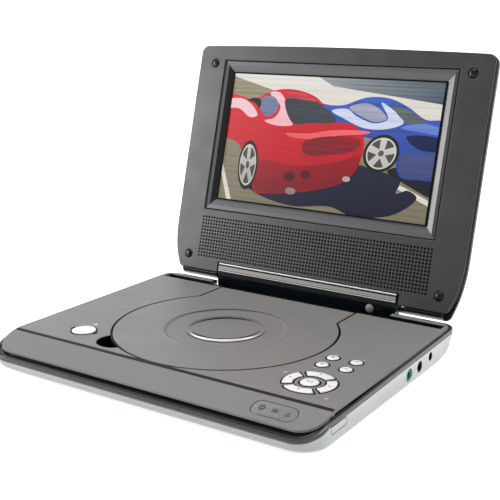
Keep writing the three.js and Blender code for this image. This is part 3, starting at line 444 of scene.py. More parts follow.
def finish_piece(obj, body, look, stands_for=(), angle=32):
    """Sets an object in place in metres, shades it and lets it ride on its body.

    The look is a name in LOOKS or a material of its own; stands_for names the CAD nodes it replaces.
    """
    obj.data.transform(LID if body == "screen_lid" else DECK)
    obj.data.materials.clear()
    obj.data.materials.append(LOOKS.get(look, look))
    obj.data.polygons.foreach_set("use_smooth", [True] * len(obj.data.polygons))
    obj.data.set_sharp_from_angle(angle=math.radians(angle))
    shading = obj.modifiers.new("shading", "WEIGHTED_NORMAL")
    shading.keep_sharp = True
    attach(obj, body)
    if stands_for:
        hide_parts(*stands_for)


# ---------------------------------------------------------------- materials
def noise(tree, place, scale, detail):
    settings = {"Vector": place, "Scale": scale, "Detail": detail}
    return node(tree, "ShaderNodeTexNoise", settings).outputs["Fac"]


def node(tree, kind, inputs=None, **settings):
    made = tree.nodes.new(kind)
    for key, value in settings.items():
        setattr(made, key, value)
    for key, value in (inputs or {}).items():
        if isinstance(value, bpy.types.NodeSocket):
            tree.links.new(value, made.inputs[key])
        else:
            made.inputs[key].default_value = value
    return made


def shaded(color, factor):
    return tuple(min(1.0, c * factor) for c in color[:3]) + (1.0,)


def blank(name):
    material = bpy.data.materials.new(name)
    material.use_nodes = True
    tree = material.node_tree
    return material, tree, tree.nodes["Principled BSDF"], node(tree, "ShaderNodeTexCoord").outputs["Object"]


def mixed(tree, factor, a, b):
    mix = node(tree, "ShaderNodeMix", {"Factor": factor}, data_type="RGBA")
    for socket, value in ((mix.inputs[6], a), (mix.inputs[7], b)):
        if isinstance(value, bpy.types.NodeSocket):
            tree.links.new(value, socket)
        else:
            socket.default_value = value
    return mix.outputs[2]


def ranged(tree, value, low, high, start=0.0, end=1.0):
    inputs = {"Value": value, "From Min": start, "From Max": end, "To Min": low, "To Max": high}
    return node(tree, "ShaderNodeMapRange", inputs).outputs["Result"]


def plastic(name, color, roughness=0.35, metallic=0.0, variation=0.05, grain=0.0, grain_scale=2500.0,
            rough_spread=0.06, coat=0.0, flake=0.0, painted_underside_shade=1.0, specular=0.5):
    """Moulded or painted plastic: cloudy tone, uneven gloss, fine moulded grain, specks of flake."""
    material, tree, shader, place = blank(name)
    cloud = noise(tree, place, 22.0, 4.0)
    fine = noise(tree, place, grain_scale, 2.0)
    tone = mixed(tree, cloud, shaded(color, 1 - variation), shaded(color, 1 + variation))
    if flake:
        speck = ranged(tree, fine, 0.0, 1.0, 0.62, 0.72)
        tone = mixed(tree, speck, tone, shaded(color, 1 + flake))
    # Painted shade: the colour darkens towards the bottom of the part.
    if painted_underside_shade < 1:
        height = node(tree, "ShaderNodeSeparateXYZ", {"Vector": place}).outputs["Z"]
        share = ranged(tree, height, 0.0, 1.0, 0.002, 0.017)
        tone = mixed(tree, share, shaded(color, painted_underside_shade), tone)
    tree.links.new(tone, shader.inputs["Base Color"])
    smudge = noise(tree, place, 60.0, 6.0)
    rough = ranged(tree, smudge, roughness - rough_spread, roughness + rough_spread, 0.3, 0.7)
    tree.links.new(rough, shader.inputs["Roughness"])
    shader.inputs["Metallic"].default_value = metallic
    shader.inputs["Coat Weight"].default_value = coat
    shader.inputs["Coat Roughness"].default_value = 0.08
    shader.inputs["Specular IOR Level"].default_value = specular
    if grain:
        bump = node(tree, "ShaderNodeBump", {"Height": fine, "Strength": grain, "Distance": 0.0001})
        tree.links.new(bump.outputs["Normal"], shader.inputs["Normal"])
    return material


def metal(name, color, roughness=0.3, stretch=(4000.0, 60.0, 60.0)):
    """Brushed metal: fine lines along one direction in tone and gloss."""
    material, tree, shader, place = blank(name)
    lines = node(tree, "ShaderNodeMapping", {"Vector": place, "Scale": stretch}).outputs["Vector"]
    streak = noise(tree, lines, 1.0, 3.0)
    tone = mixed(tree, streak, shaded(color, 0.85), shaded(color, 1.1))
    tree.links.new(tone, shader.inputs["Base Color"])
    tree.links.new(ranged(tree, streak, roughness - 0.1, roughness + 0.1), shader.inputs["Roughness"])
    shader.inputs["Metallic"].default_value = 1.0
    return material


def display(red, green, blue):
    """A colour given by its 0-255 display values."""
    return tuple((c / 255) ** 2.2 for c in (red, green, blue)) + (1.0,)


def lit(name, low, high, direction=(0.0, 1.0), streaks=0.0):
    """A lit part of the picture: a gradient between two colours along a direction, with long streaks."""
    material, tree, shader, _ = blank(name)
    across = node(tree, "ShaderNodeUVMap").outputs["UV"]
    split = node(tree, "ShaderNodeVectorMath", {0: across, 1: (*direction, 0.0)}, operation="DOT_PRODUCT")
    color = mixed(tree, split.outputs["Value"], display(*low), display(*high))
    stretch = {"Vector": across, "Rotation": (0, 0, 0.25), "Scale": (1.2, 26, 1)}
    longways = node(tree, "ShaderNodeMapping", stretch).outputs["Vector"]
    share = ranged(tree, noise(tree, longways, 2.0, 4.0), 0.0, 0.06 + streaks, 0.4, 0.75)
    color = mixed(tree, share, color, (0.02, 0.02, 0.03, 1))
    tree.links.new(color, shader.inputs["Emission Color"])
    shader.inputs["Emission Strength"].default_value = 0.95
    shader.inputs["Base Color"].default_value = (0.01, 0.01, 0.012, 1)
    shader.inputs["Roughness"].default_value = 0.3
    shader.inputs["Specular IOR Level"].default_value = 0.12
    return material


LOOKS = {
    "deck": plastic(
        "deck_grey", (0.16, 0.156, 0.152), roughness=0.5, variation=0.03, grain=0.05, grain_scale=2600,
        rough_spread=0.05, flake=0.5, specular=0.15,
    ),
    "lid": plastic(
        "lid_grey", (0.02, 0.0212, 0.0222), roughness=0.4, grain=0.25, grain_scale=1800, rough_spread=0.05,
    ),
    "black": plastic("black_gloss", (0.006, 0.0065, 0.008), roughness=0.16, variation=0.2, coat=0.6),
    "dark": plastic(
        "black_matte", (0.004, 0.004, 0.0045), roughness=0.6, variation=0.2, grain=0.3, grain_scale=1500,
        rough_spread=0.08, specular=0.05,
    ),
    # Painted shade darkens the silver towards its bottom edge.
    "silver": plastic(
        "silver_paint", (0.37, 0.385, 0.393), roughness=0.3, metallic=0.35, variation=0.01, grain=0.04,
        grain_scale=3000, rough_spread=0.01, coat=0.3, flake=0.2, painted_underside_shade=0.42,
    ),
    "band": plastic(
        "band_gloss", (0.035, 0.027, 0.026), roughness=0.22, metallic=0.1, variation=0.1,
        rough_spread=0.03, coat=0.2,
    ),
    "roll": plastic(
        "roll_gloss", (0.016, 0.019, 0.021), roughness=0.25, variation=0.1, rough_spread=0.03,
        specular=0.35,
    ),
    # Painted shade: near-black and dark grey for shade laid in the crease and along the steps of the disc
    # lid.
    "line": plastic(
        "painted_shade_grey", (0.01, 0.0098, 0.0095), roughness=0.5, grain=0.05, rough_spread=0.05, specular=0.1,
    ),
    "soft_shade": plastic(
        "painted_soft_shade_grey", (0.055, 0.053, 0.052), roughness=0.5, grain=0.05, rough_spread=0.05,
        specular=0.1,
    ),
    "white": plastic("key_white", (0.66, 0.66, 0.65), roughness=0.32, variation=0.03, grain=0.06, coat=0.2),
    "rubber": plastic(
        "soft_black", (0.003, 0.003, 0.003), roughness=0.3, variation=0.25, grain=0.1, grain_scale=1200,
        rough_spread=0.04, specular=0.3,
    ),
    "green": plastic(
        "jack_green", (0.006, 0.14, 0.09), roughness=0.4, variation=0.1, grain=0.1, rough_spread=0.08,
        specular=0.15,
    ),
    "smoke": plastic(
        "smoke_window", (0.13, 0.128, 0.13), roughness=0.28, metallic=0.1, rough_spread=0.05, coat=0.7,
    ),
    "ink": plastic("printed_ink", (0.03, 0.031, 0.033), roughness=0.5, variation=0.2, rough_spread=0.05),
    "pale_ink": plastic("pale_ink", (0.55, 0.55, 0.55), roughness=0.5, variation=0.1, rough_spread=0.05),
    "grey": plastic(
        "inner_grey", (0.16, 0.165, 0.17), roughness=0.5, variation=0.08, grain=0.3, grain_scale=1500,
        rough_spread=0.08,
    ),
    "circuit": plastic(
        "circuit_green", (0.015, 0.11, 0.045), roughness=0.4, variation=0.35, grain=0.3, grain_scale=700,
        rough_spread=0.12, coat=0.3,
    ),
    "wrap": plastic(
        "cell_wrap", (0.02, 0.08, 0.24), roughness=0.3, variation=0.15, grain=0.2, grain_scale=400,
        rough_spread=0.08, coat=0.4,
    ),
    "steel": metal("steel", (0.52, 0.53, 0.54)),
    "brass": metal("brass", (0.5, 0.33, 0.11)),
    "barrel": plastic(
        "barrel_gloss", (0.003, 0.0045, 0.0055), roughness=0.14, variation=0.2, rough_spread=0.04,
        coat=0.2,
    ),
    # Painted reflection: pale grey for the sheen on the hinge cover's facet and on the outer step of the disc
    # lid.
    "painted_sheen": plastic(
        "painted_sheen_grey", (0.2, 0.195, 0.19), roughness=0.45, metallic=0.1, rough_spread=0.05, coat=0.2,
    ),
    # Painted highlight: near-white for the highlight lines on the hinge cover and the lit sickle on the disc
    # lid.
    "bright": plastic(
        "painted_highlight_white", (0.85, 0.85, 0.85), roughness=0.22, metallic=0.3, variation=0.02,
        rough_spread=0.05, coat=0.5,
    ),
    "reveal": plastic(
        "reveal_grey", (0.075, 0.075, 0.079), roughness=0.34, metallic=0.1, variation=0.03,
        rough_spread=0.01,
    ),
    "shell": plastic(
        "lid_shell", (0.006, 0.0065, 0.008), roughness=0.28, variation=0.2, rough_spread=0.04,
        specular=0.25,
    ),
    # Shaded and lit copies of the reveal grey: painted shade and painted light for the boards, by the side
    # they face.
    "reveal_painted_shade": plastic(
        "reveal_painted_shade", (0.012, 0.012, 0.013), roughness=0.4, variation=0.03, rough_spread=0.01,
        specular=0.15,
    ),
    "reveal_painted_light": plastic(
        "reveal_painted_light", (0.085, 0.085, 0.088), roughness=0.34, metallic=0.1, variation=0.03,
        rough_spread=0.01,
    ),
}
CAD_LOOKS = {
    "dark": ["disc_tray", "lid_switch", "speaker_left", "speaker_right"],
    "grey": ["disc_latch", "turntable", "pickup_sled"],
    "steel": [
        "drive_chassis", "spindle_motor", "guide_rod_front", "guide_rod_rear", "sled_motor", "lcd_frame",
        "hinge_arm_left", "hinge_arm_right", *[f"case_screw_{i}" for i in range(1, 5)],
    ],
    "circuit": ["main_board", "key_board", "lid_board"],
    "wrap": ["battery_pack"],
    "smoke": ["pickup_lens", "indicator_window"],
    "brass": ["hinge_bush_left", "hinge_bush_right"],
    "white": [
        "sled_gear", "open_button", *[f"round_key_{i}" for i in range(1, 5)],
        *[f"pad_key_{way}" for way in PAD_WAYS], "pad_key_centre",
    ],
    "black": ["hinge_barrel", "av_jack", "dc_inlet", "lcd_panel", "lid_back"],
    "green": ["headphone_jack"],
    "silver": ["port_cover", "lower_case"],
    "band": ["side_band"],
    "deck": ["upper_case", "disc_lid"],
    "lid": ["lid_bezel"],
    "rubber": [
        *[f"foot_{end}_{side}" for end in ("front", "rear") for side in ("left", "right")],
        *[f"bumper_{place}" for place in BUMPERS],
    ],
}
for look, names in CAD_LOOKS.items():
    for name in names:
        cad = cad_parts[name]
        cad.data.materials.clear()
        cad.data.materials.append(LOOKS[look])


# ---------------------------------------------------------------- base: deck
DECK_EDGE = 0.25
BARREL_SLOT = BARREL_HALF + 0.35  # half width of the room for the hinge cover
BARREL_ROOM = block(-BARREL_SLOT, BARREL_SLOT, 37.2, 60, -14, 5)
REAR_STRIP = block(-BARREL_SLOT, BARREL_SLOT, 36.1, 60, -3, 5)  # no deck left in front of the hinge


def deck_opening():
    """The disc bay with its finger notch, running into the channel at the rear."""
    bay = bay_outline(0, CHANNEL_FRONT, notch=True)
    channel = [
        (CHANNEL_HALF, CHANNEL_FRONT), (CHANNEL_HALF, CHANNEL_REAR),
        (-CHANNEL_HALF, CHANNEL_REAR), (-CHANNEL_HALF, CHANNEL_FRONT),
    ]
    return bay[:2] + channel + bay[2:]


def indicator_outline(grow=0.0):
    """The status window's oval, drawn larger by a little."""
    half_x, half_y = INDICATOR_LENGTH / 2 + grow, INDICATOR_DEPTH / 2 + grow
    left, right = INDICATOR_X - half_x, INDICATOR_X + half_x
    return rounded(left, right, INDICATOR_Y - half_y, INDICATOR_Y + half_y, 4 + grow)


def key_outlines(grow):
    """Outlines of all the keys, drawn larger by a little."""
    outlines = [circle(x, y, ROUND_KEY_RADIUS + grow, 48) for x, y in ROUND_KEYS]
    outlines += [pad_key_outline(quarter * math.pi / 2, grow) for quarter in range(4)]
    outlines.append(circle(PAD_X, PAD_Y, PAD_CENTRE + grow, 48))
    outlines.append(circle(OPEN_X, OPEN_Y, OPEN_RADIUS + grow, 64))
    return outlines


def add_deck():
    """The flat deck plate, bent down over the crease at the front."""
    rim = rounded(-PLATE_HALF, PLATE_HALF, PLATE_FRONT, PLATE_REAR, 12.5, 7.5, 16)
    holes = [deck_opening(), indicator_outline(0.3)] + key_outlines(KEY_GAP)
    deck = make("deck", slab(rim, holes, 0, -PLATE_THICKNESS, DECK_EDGE))
    bend_down(deck)
    cut(deck, REAR_STRIP)
    finish_piece(deck, "base", "deck", ["upper_case"])


def add_crease_shade():
    """Painted shade: a dark strip along the bottom of the crease."""
    front, rear = CREASE_Y - 1.1, CREASE_Y + 1.1
    line = make("crease_shade", prism_x([
        (rear, -0.6), (front, -0.9), (front, deck_height(front) - 0.06),
        (CREASE_Y - 0.1, deck_height(CREASE_Y) - 0.1), (rear, deck_height(rear) - 0.06),
    ], -PLATE_HALF + 0.4, PLATE_HALF - 0.4))
    finish_piece(line, "base", "line")


def add_bay_gap_shade():
    """Painted shade: dark filling low in the seam round the disc lid, and a dark lining of the bay's edge."""
    inner = bay_outline(-SEAM + 0.12, NECK_REAR - 0.6)[::-1]
    filler = slab(bay_outline(-0.02, NECK_REAR + 0.2), [inner], -0.3, -1.2, 0.05, 1)
    opening = bay_outline(-0.02, NECK_REAR + 0.3, notch=True)
    liner = slab(opening, [grown(opening, -0.35)[::-1]], -0.2, -2.4, 0.05, 1)
    finish_piece(make("bay_gap_shade", together(filler, liner)), "base", "dark")


def add_deck_skirt():
    """The black edge of the deck above the side band."""
    outline = rounded(-102.8, 102.8, -117.2, PLATE_REAR - 0.2, 8, 5)
    skirt = make("deck_skirt", wall(outline, lambda y: [
        (-1.8, deck_height(y) - 1.6), (0, deck_height(y) - 1.6), (0, skirt_foot(y)), (-1.8, skirt_foot(y)),
    ]))
    cut(skirt, BARREL_ROOM)
    finish_piece(skirt, "base", "black")


def add_rear_channel():
    """The dark trough in front of the hinge, and painted shade on its rear edge beside the hinge cover."""
    front, rear, top = CHANNEL_FRONT - 0.2, CHANNEL_REAR + 0.3, -PLATE_THICKNESS - 0.1
    under = CHANNEL_FLOOR - 1.5
    trough = make("rear_channel", prism_x([
        (front - 1.3, top), (front - 1.3, under), (rear + 1.9, under), (rear + 1.9, top),
        (rear, top), (rear, CHANNEL_FLOOR), (front, CHANNEL_FLOOR), (front, top),
    ], -102, 102))
    cut(trough, prism(bay_outline(0.2, CHANNEL_FRONT + 1), -12, 2), BARREL_ROOM)
    finish_piece(trough, "base", "dark")
    for name, start, end in (("left", -CHANNEL_HALF, -BARREL_SLOT), ("right", BARREL_SLOT, CHANNEL_HALF)):
        strip = block(start + 0.05, end - 0.05, CHANNEL_REAR - 0.3, CHANNEL_REAR - 0.02, -2.4, -0.35)
        finish_piece(make(f"channel_lining_{name}", strip), "base", "dark")


def skirt_foot(y):
    """The skirt under the deck reaches lower under the front."""
    return deck_height(y) - 4.2 - 2.6 * min(1.0, past_crease(y) / 12)


# ---------------------------------------------------------------- base: disc lid
def add_disc_lid():
    """The round lid of the disc bay: plate, sunk middle and the pad under it."""
    outline = bay_outline(-SEAM, NECK_REAR)
    dish = list(reversed(circle(DISC_X, DISC_Y, DISH_RADIUS + 0.9, 96)))
    lid = make("disc_cover", slab(outline, [dish], 0, -DISC_LID_THICKNESS, 0.25, 3))
    finish_piece(lid, "disc_lid", "deck", ["disc_lid"], angle=40)
    middle = make("disc_cover_middle", tilted_middle())
    finish_piece(middle, "disc_lid", "deck", angle=60)
    add_crescents()
    pad = [(0, -3), (23.5, -3), (24, -2.6), (24, -1.9), (0, -1.9)]
    under = make("disc_cover_pad", lathe(pad, DISC_X, DISC_Y, 96))
    finish_piece(under, "disc_lid", "dark")
    add_disc_lid_arms()
    add_disc_lid_tongue()


DISC_ARM_X, DISC_ARM_HALF = 44.5, 1.5  # from the middle of the disc lid
DISC_PIN_RADIUS, DISC_PIN_LENGTH = 1.2, 4.6


def add_disc_lid_arms():
    """Two arms under the neck, each with a pin that the disc lid turns on."""
    section = [
        (PIVOT_Y - 4, -1.9), (PIVOT_Y - 2, PIVOT_Z - 1.8), (PIVOT_Y + 2, PIVOT_Z - 1.8), (PIVOT_Y + 4, -1.9),
    ]
    for side, name in ((-1, "left"), (1, "right")):
        x = DISC_X + side * DISC_ARM_X
        arm = prism_x(section, x - DISC_ARM_HALF, x + DISC_ARM_HALF)
        start, end = sorted((x, x + side * DISC_PIN_LENGTH))
        pin = rod_x(PIVOT_Y, PIVOT_Z, DISC_PIN_RADIUS, start, end, 24)
        finish_piece(make(f"disc_cover_arm_{name}", together(arm, pin)), "disc_lid", "dark")


def add_disc_lid_tongue():
    """The hooked tongue that the latch holds, at the edge nearest the open button."""
    latch_turn = math.atan2(OPEN_Y - DISC_Y, OPEN_X - DISC_X)
    stem, hook = block(58.6, 60.2, -3, 3, -6.5, -1.9), block(60.1, 61.2, -3, 3, -6.5, -5.7)
    tongue = make("disc_cover_tongue", together(stem, hook))
    tongue.data.transform(Matrix.Translation((DISC_X, DISC_Y, 0)) @ Matrix.Rotation(latch_turn, 4, "Z"))
    finish_piece(tongue, "disc_lid", "dark")


def crescent(start, end, low, high):
    """A thin sickle laid on a round step; low and high are the (radius, z) of its edges at full width."""
    steps, rings = 40, []
    for i in range(steps + 1):
        angle = start + (end - start) * i / steps
        width = math.sin(math.pi * i / steps)
        radius, z = (low[k] + (high[k] - low[k]) * width for k in (0, 1))
        ring = [(low[0], low[1]), (radius, z), (radius, z - 0.2), (low[0], low[1] - 0.2)]
        rings.append([(DISC_X + r * math.cos(angle), DISC_Y + r * math.sin(angle), h) for r, h in ring])
    return swept(rings)


def add_crescents():
    """Painted light and shade in thin sickles along the steps of the disc lid's middle: a painted highlight
    on the front step, painted shade lines beside it and along the rear step, soft painted shade on the outer
    rear step and a painted sheen on the outer front step; angles in degrees.
    """
    r, floor = RAMP_RADIUS, DISH_FLOOR
    for name, start, end, low, high, look in (
        ("front", 232, 374, (r + 0.6, floor + 0.05), (r - 0.4, floor + 1.08), "bright"),
        ("front_shade", 222, 384, (r + 2.3, floor + 0.12), (r + 1.1, floor + 0.12), "line"),
        ("front_edge_shade", 226, 380, (r - 0.7, floor + 1.12), (r - 1.5, floor + 1.12), "line"),
        ("outer_rear_shade", 40, 206, (DISH_RADIUS + 1.2, 0.02), (DISH_RADIUS - 0.4, -0.2), "soft_shade"),
        ("outer_front_sheen", 225, 385, (DISH_RADIUS + 1.9, 0.12), (DISH_RADIUS + 0.5, 0.08), "painted_sheen"),
        ("rear", 45, 201, (r + 1.3, floor + 0.14), (r + 0.1, floor - 0.75), "line"),
    ):
        piece = make(f"disc_cover_{name}", crescent(math.radians(start), math.radians(end), low, high))
        finish_piece(piece, "disc_lid", look)


def tilted_middle():
    """The sunk middle of the lid with its tilted disc, proud of the floor in front and sunk behind."""
    levels = [(DISH_RADIUS + r, z, 0, 0) for r, z in (
        (0.8, -1.9), (0.8, -0.5), (1.7, -0.01), (1.8, 0.03), (1.4, 0.02),
        (0.9, -0.05), (0.4, -0.17), (-0.1, -0.3), (-0.6, -0.48), (-1.1, DISH_FLOOR),
    )]
    levels.append((RAMP_RADIUS + 2.2, DISH_FLOOR, 0, 0))
    levels += [(RAMP_RADIUS + r, DISH_FLOOR, front, rear) for r, front, rear in (
        (1.9, -0.06, 0.0), (1.3, -0.42, 0.0), (1.0, -0.4, -0.02), (0.55, -0.1, -0.05), (0.5, -0.05, -1.3),
        (0.1, 0.3, -1.35), (0.0, 0.4, -1.0), (-0.5, 0.93, -0.96), (-0.6, 0.9, -0.95),
    )]
    levels.append((RAMP_RADIUS - 0.8, DISH_FLOOR, RAMP_RISE, -RAMP_RISE))
    for radius in (14, 7):
        rise = RAMP_RISE * radius / RAMP_RADIUS
        levels.append((radius, DISH_FLOOR, rise, -rise))
    rings = []
    for radius, floor, front, rear in levels:
        ring = []
        for x, y in circle(DISC_X, DISC_Y, radius, 96):
            lean = ((x - DISC_X) * math.cos(RAMP_WAY) + (y - DISC_Y) * math.sin(RAMP_WAY)) / radius
            ring.append((x, y, floor + (lean * rear if lean > 0 else -lean * front)))
        rings.append(ring)
    return loft(rings)


# ---------------------------------------------------------------- base: keys
def add_keys():
    """Caps of the four round keys, the five keys of the pad and the open button."""
    for i, (x, y) in enumerate(ROUND_KEYS):
        key = make(f"round_key_cap_{i + 1}", round_key(x, y, ROUND_KEY_RADIUS))
        finish_piece(key, f"round_key_{i + 1}", "white", [f"round_key_{i + 1}"])
    centre = make("pad_cap_centre", round_key(PAD_X, PAD_Y, PAD_CENTRE))
    finish_piece(centre, "pad_key_centre", "white", ["pad_key_centre"])
    for i, name in enumerate(PAD_WAYS):
        angle = i * math.pi / 2
        x, y = PAD_X + PAD_MIDDLE * math.cos(angle), PAD_Y + PAD_MIDDLE * math.sin(angle)
        foot = lathe(KEY_STEM + [(0, KEY_FLANGE_BOTTOM)], x, y, 24)
        cap = slab(pad_key_outline(angle, 0), [], KEY_PROUD, KEY_FLANGE_BOTTOM, 0.7, 5)
        key = make(f"pad_cap_{name}", cap)
        finish_piece(key, f"pad_key_{name}", "white", [f"pad_key_{name}"])
        finish_piece(make(f"pad_foot_{name}", foot), f"pad_key_{name}", "white")
    r = OPEN_RADIUS
    button = make("open_cap", lathe([
        (0, -6), (2.5, -6), (2.5, -4.2), (r + 0.9, -4.2), (r + 0.9, -3.4), (r, -3.4), (r, 0),
        (r - 0.25, 0.4), (r - 0.8, KEY_PROUD), (r - 1.6, KEY_PROUD), (r - 2.2, 0.25),
        (r - 3.4, 0.05), (0, 0.0),
    ], OPEN_X, OPEN_Y, 72))
    finish_piece(button, "open_button", "white", ["open_button"])


def add_key_gap_shade():
    """Painted shade: dark rings low in the gap round each key."""
    rings = [slab(outer, [list(reversed(inner))], 0.06, -1.3, 0.05, 1)
             for outer, inner in zip(key_outlines(KEY_GAP - 0.02), key_outlines(0.06))]
    finish_piece(make("key_gap_shade", together(*rings)), "base", "dark")


def triangle(x, y, size, way):
    """A small triangle that points along a way given in radians."""
    return [(x + size * math.cos(way + a), y + size * math.sin(way + a)) for a in (0, 2.2, -2.2)]


def bar(x, y, width, depth):
    return [(x - width / 2, y - depth / 2), (x + width / 2, y - depth / 2),
            (x + width / 2, y + depth / 2), (x - width / 2, y + depth / 2)]


ROUND_KEY_BARS = [  # x, y, width and depth of the bars of each sign
    [(0, 0, 1.6, 1.6)],
    [(-0.7, 0, 0.5, 1.7), (0.7, 0, 0.5, 1.7)],
    [(0, 0.6, 1.9, 0.5), (0, -0.6, 1.9, 0.5)],
    [(0, 0, 2, 0.5)],
]


def add_key_marks():
    """Simple printed signs on the keys and beside them."""
    def sign(name, body, *outlines):
        plates = [prism(anticlockwise(points), KEY_PROUD, KEY_PROUD + 0.09) for points in outlines]
        finish_piece(make(name, together(*plates)), body, "grey")
    for i, name in enumerate(PAD_WAYS):
        way = i * math.pi / 2
        sign(f"sign_pad_{name}", f"pad_key_{name}",
             triangle(PAD_X + PAD_MIDDLE * math.cos(way), PAD_Y + PAD_MIDDLE * math.sin(way), 0.9, way))
    play, pause = triangle(PAD_X - 0.7, PAD_Y, 1.2, 0), bar(PAD_X + 1.3, PAD_Y, 0.5, 1.7)
    sign("sign_pad_centre", "pad_key_centre", play, pause)
    for i, ((x, y), bars) in enumerate(zip(ROUND_KEYS, ROUND_KEY_BARS)):
        drawn = [bar(x + dx, y + dy, w, d) for dx, dy, w, d in bars]
        sign(f"sign_round_{i + 1}", f"round_key_{i + 1}", *drawn)


def round_key(x, y, radius):
    return lathe([
        *KEY_STEM, (radius + 0.8, KEY_FLANGE_BOTTOM), (radius + 0.8, KEY_FLANGE_TOP),
        (radius, KEY_FLANGE_TOP), (radius, 0), (radius - 0.15, 0.3), (radius - 0.5, 0.5),
        (radius - 1.2, KEY_PROUD), (0, KEY_PROUD + 0.05),
    ], x, y)


# ---------------------------------------------------------------- base: side band, bottom shell and sockets
SOCKETS = {  # Y, Z, outer radius, bore radius, look, material slot
    "headphone_jack": (-22.6, -9.6, 3.3, 1.8, "green", "jack_green"),
    "av_jack": (-9.2, -9.2, 2.9, 1.9, "dark", "black_gloss"),
    "dc_inlet": (5.1, -7.9, 2.2, 1.6, "dark", "black_gloss"),
}
PORT = (-108.0, -92.7, -10.4, -6.2)  # front, rear, low and high of the small cover
SCREWS = [(-88, -84), (88, -106), (-92, 20), (92, 24)]


BAND_TOP, BAND_TOP_SLOPE = -1, 0.37
BAND_FOOT, BAND_FOOT_SLOPE = -3.3, 0.343


def band_section(y):
    """Section of the band: two soft ridges with a fine groove between them."""
    top, foot = BAND_TOP - BAND_TOP_SLOPE * past_crease(y), BAND_FOOT - BAND_FOOT_SLOPE * past_crease(y)
    middle = (top + foot) / 2
    return [
        (-1.5, top), (-0.5, top), (-0.12, top - 0.15), (0, top - 0.5), (0, middle + 0.1), (-0.35, middle),
        (0, middle - 0.1), (0, foot + 0.4), (-0.15, foot + 0.1), (-0.5, foot), (-1.5, foot),
    ]


def add_side_band():
    outline = rounded(-BASE_HALF, BASE_HALF, BASE_FRONT, BASE_REAR, *BASE_CORNERS, 18)
    band = make("rim_band", wall(outline, band_section))
    cut(band, BARREL_ROOM)
    finish_piece(band, "base", "band", ["side_band"])


def add_front_roll():
    """The rounded front edge under the deck, fading out along both sides."""
    bulge = [
        (-0.5, -1.5), (-0.65, -1.0), (-1.1, -0.6), (-1.9, -0.35), (-3.2, -0.25),
        (-5.4, -0.25), (-5.4, -2.2), (-0.5, -2.2),
    ]
    path = [(-103.6, -85)] + arc(-91.1, -110, 12.5, math.pi, 1.5 * math.pi, 16)
    path += [(-x, y) for x, y in reversed(path)]
    pushed = [grown(path, offset) for offset, _ in bulge]
    rings = []
    for i, (_, y) in enumerate(path):
        share = min(1.0, past_crease(y) / 10)
        top = BAND_TOP - BAND_TOP_SLOPE * past_crease(y)
        rings.append([(*line[i], (1 - share) * -3.6 + share * (top + rise))
                      for line, (_, rise) in zip(pushed, bulge)])
    roll = make("front_roll", swept(rings))
    finish_piece(roll, "base", "roll", angle=50)


def add_bottom_shell():
    """The silver shell: upright at the rim, curving under, with sockets, port cover seam and screw holes."""
    def ring(inset, height, extra=(0.0, 0.0, 0.0)):
        side, front, rear = (inset + e for e in extra)
        points = rounded(-BASE_HALF + side, BASE_HALF - side, BASE_FRONT + front, BASE_REAR - rear,
                         BASE_CORNERS[0] - inset, BASE_CORNERS[1] - inset, 16)
        return [(x, y, height(y)) for x, y in points]

    def top(y):
        return BAND_FOOT - 0.35 - BAND_FOOT_SLOPE * past_crease(y)

    def straight_end(y):
        return min(UNDERSIDE_START, top(y) - 0.7)

    rings = [ring(2, lambda y: UNDERSIDE + 2, (10, 18, 24)), ring(2, straight_end, (0, 0, 6)), ring(2, top),
             ring(0.4, top), ring(0.1, lambda y: top(y) - 0.12), ring(0, lambda y: top(y) - 0.4)]
    steps = 10
    for i in range(steps + 1):
        angle = math.pi / 2 * i / steps
        sunk = UNDERSIDE_START - 4 + (UNDERSIDE - UNDERSIDE_START) * math.sin(angle)
        curl = [inset * (1 - math.cos(angle)) for inset in UNDERSIDE_INSET]
        curl[2] -= REAR_LEAN * (sunk + 8)
        rings.append(ring(0, lambda y: blended(straight_end(y), UNDERSIDE, math.sin(angle)), curl))
    shell = make("bottom_shell", loft(rings))
    front, rear, low, high = PORT
    port = rounded(front, rear, low, high, 1.2, steps=5)
    flap = rounded(front + 0.4, rear - 0.4, low + 0.4, high - 0.4, 0.8, steps=5)
    port_seam = outward(slab(port, [flap], 120, BASE_HALF - 0.7, 0.1, 1))
    sockets = [outward(prism(circle(y, z, outer + 0.3, 40), 98, 120)) for y, z, outer, *_ in SOCKETS.values()]
    screws = [prism(circle(x, y, 3.1, 32), -30, -18.2) for x, y in SCREWS]
    cut(shell, BARREL_ROOM, port_seam, *sockets, *screws)
    finish_piece(shell, "base", "silver", ["lower_case", "port_cover"])


def add_sockets():
    face = BASE_HALF - 0.1
    for name, (y, z, outer, bore, look, slot) in SOCKETS.items():
        profile = [
            (bore, face - 10), (bore, face - 0.5), (bore + 0.35, face - 0.1), (outer - 0.45, face),
            (outer - 0.1, face - 0.15), (outer, face - 0.5), (outer, face - 10),
        ]
        rings = [[(cy, cz, x) for cy, cz in circle(y, z, r, 48)] for r, x in profile]
        ring = make(f"{name}_ring", outward(loft(rings, closed=True)))
        finish_piece(ring, "base", look, [name])
        plug = [(0, face - 11), (outer, face - 11), (outer, face - 9.9), (0, face - 9.9)]
        back = make(f"{name}_back", outward(lathe(plug, y, z, 32)))
        finish_piece(back, "base", "dark")
    y, z = SOCKETS["dc_inlet"][:2]
    contact = [(0, face - 10), (0.5, face - 10), (0.5, face - 1.8), (0, face - 1.5)]
    pin = make("dc_inlet_pin", outward(lathe(contact, y, z, 20)))
    finish_piece(pin, "base", "steel")


# ---------------------------------------------------------------- base: status window and printed marks
def flat_mark(outline, holes=()):
    """A printed mark, drawn as a very thin plate that follows the slope of the front."""
    verts, faces = slab(outline, list(holes), 0.03, 0.0, 0.01, 1)
    return [(x, y, z + deck_height(y)) for x, y, z in verts], faces


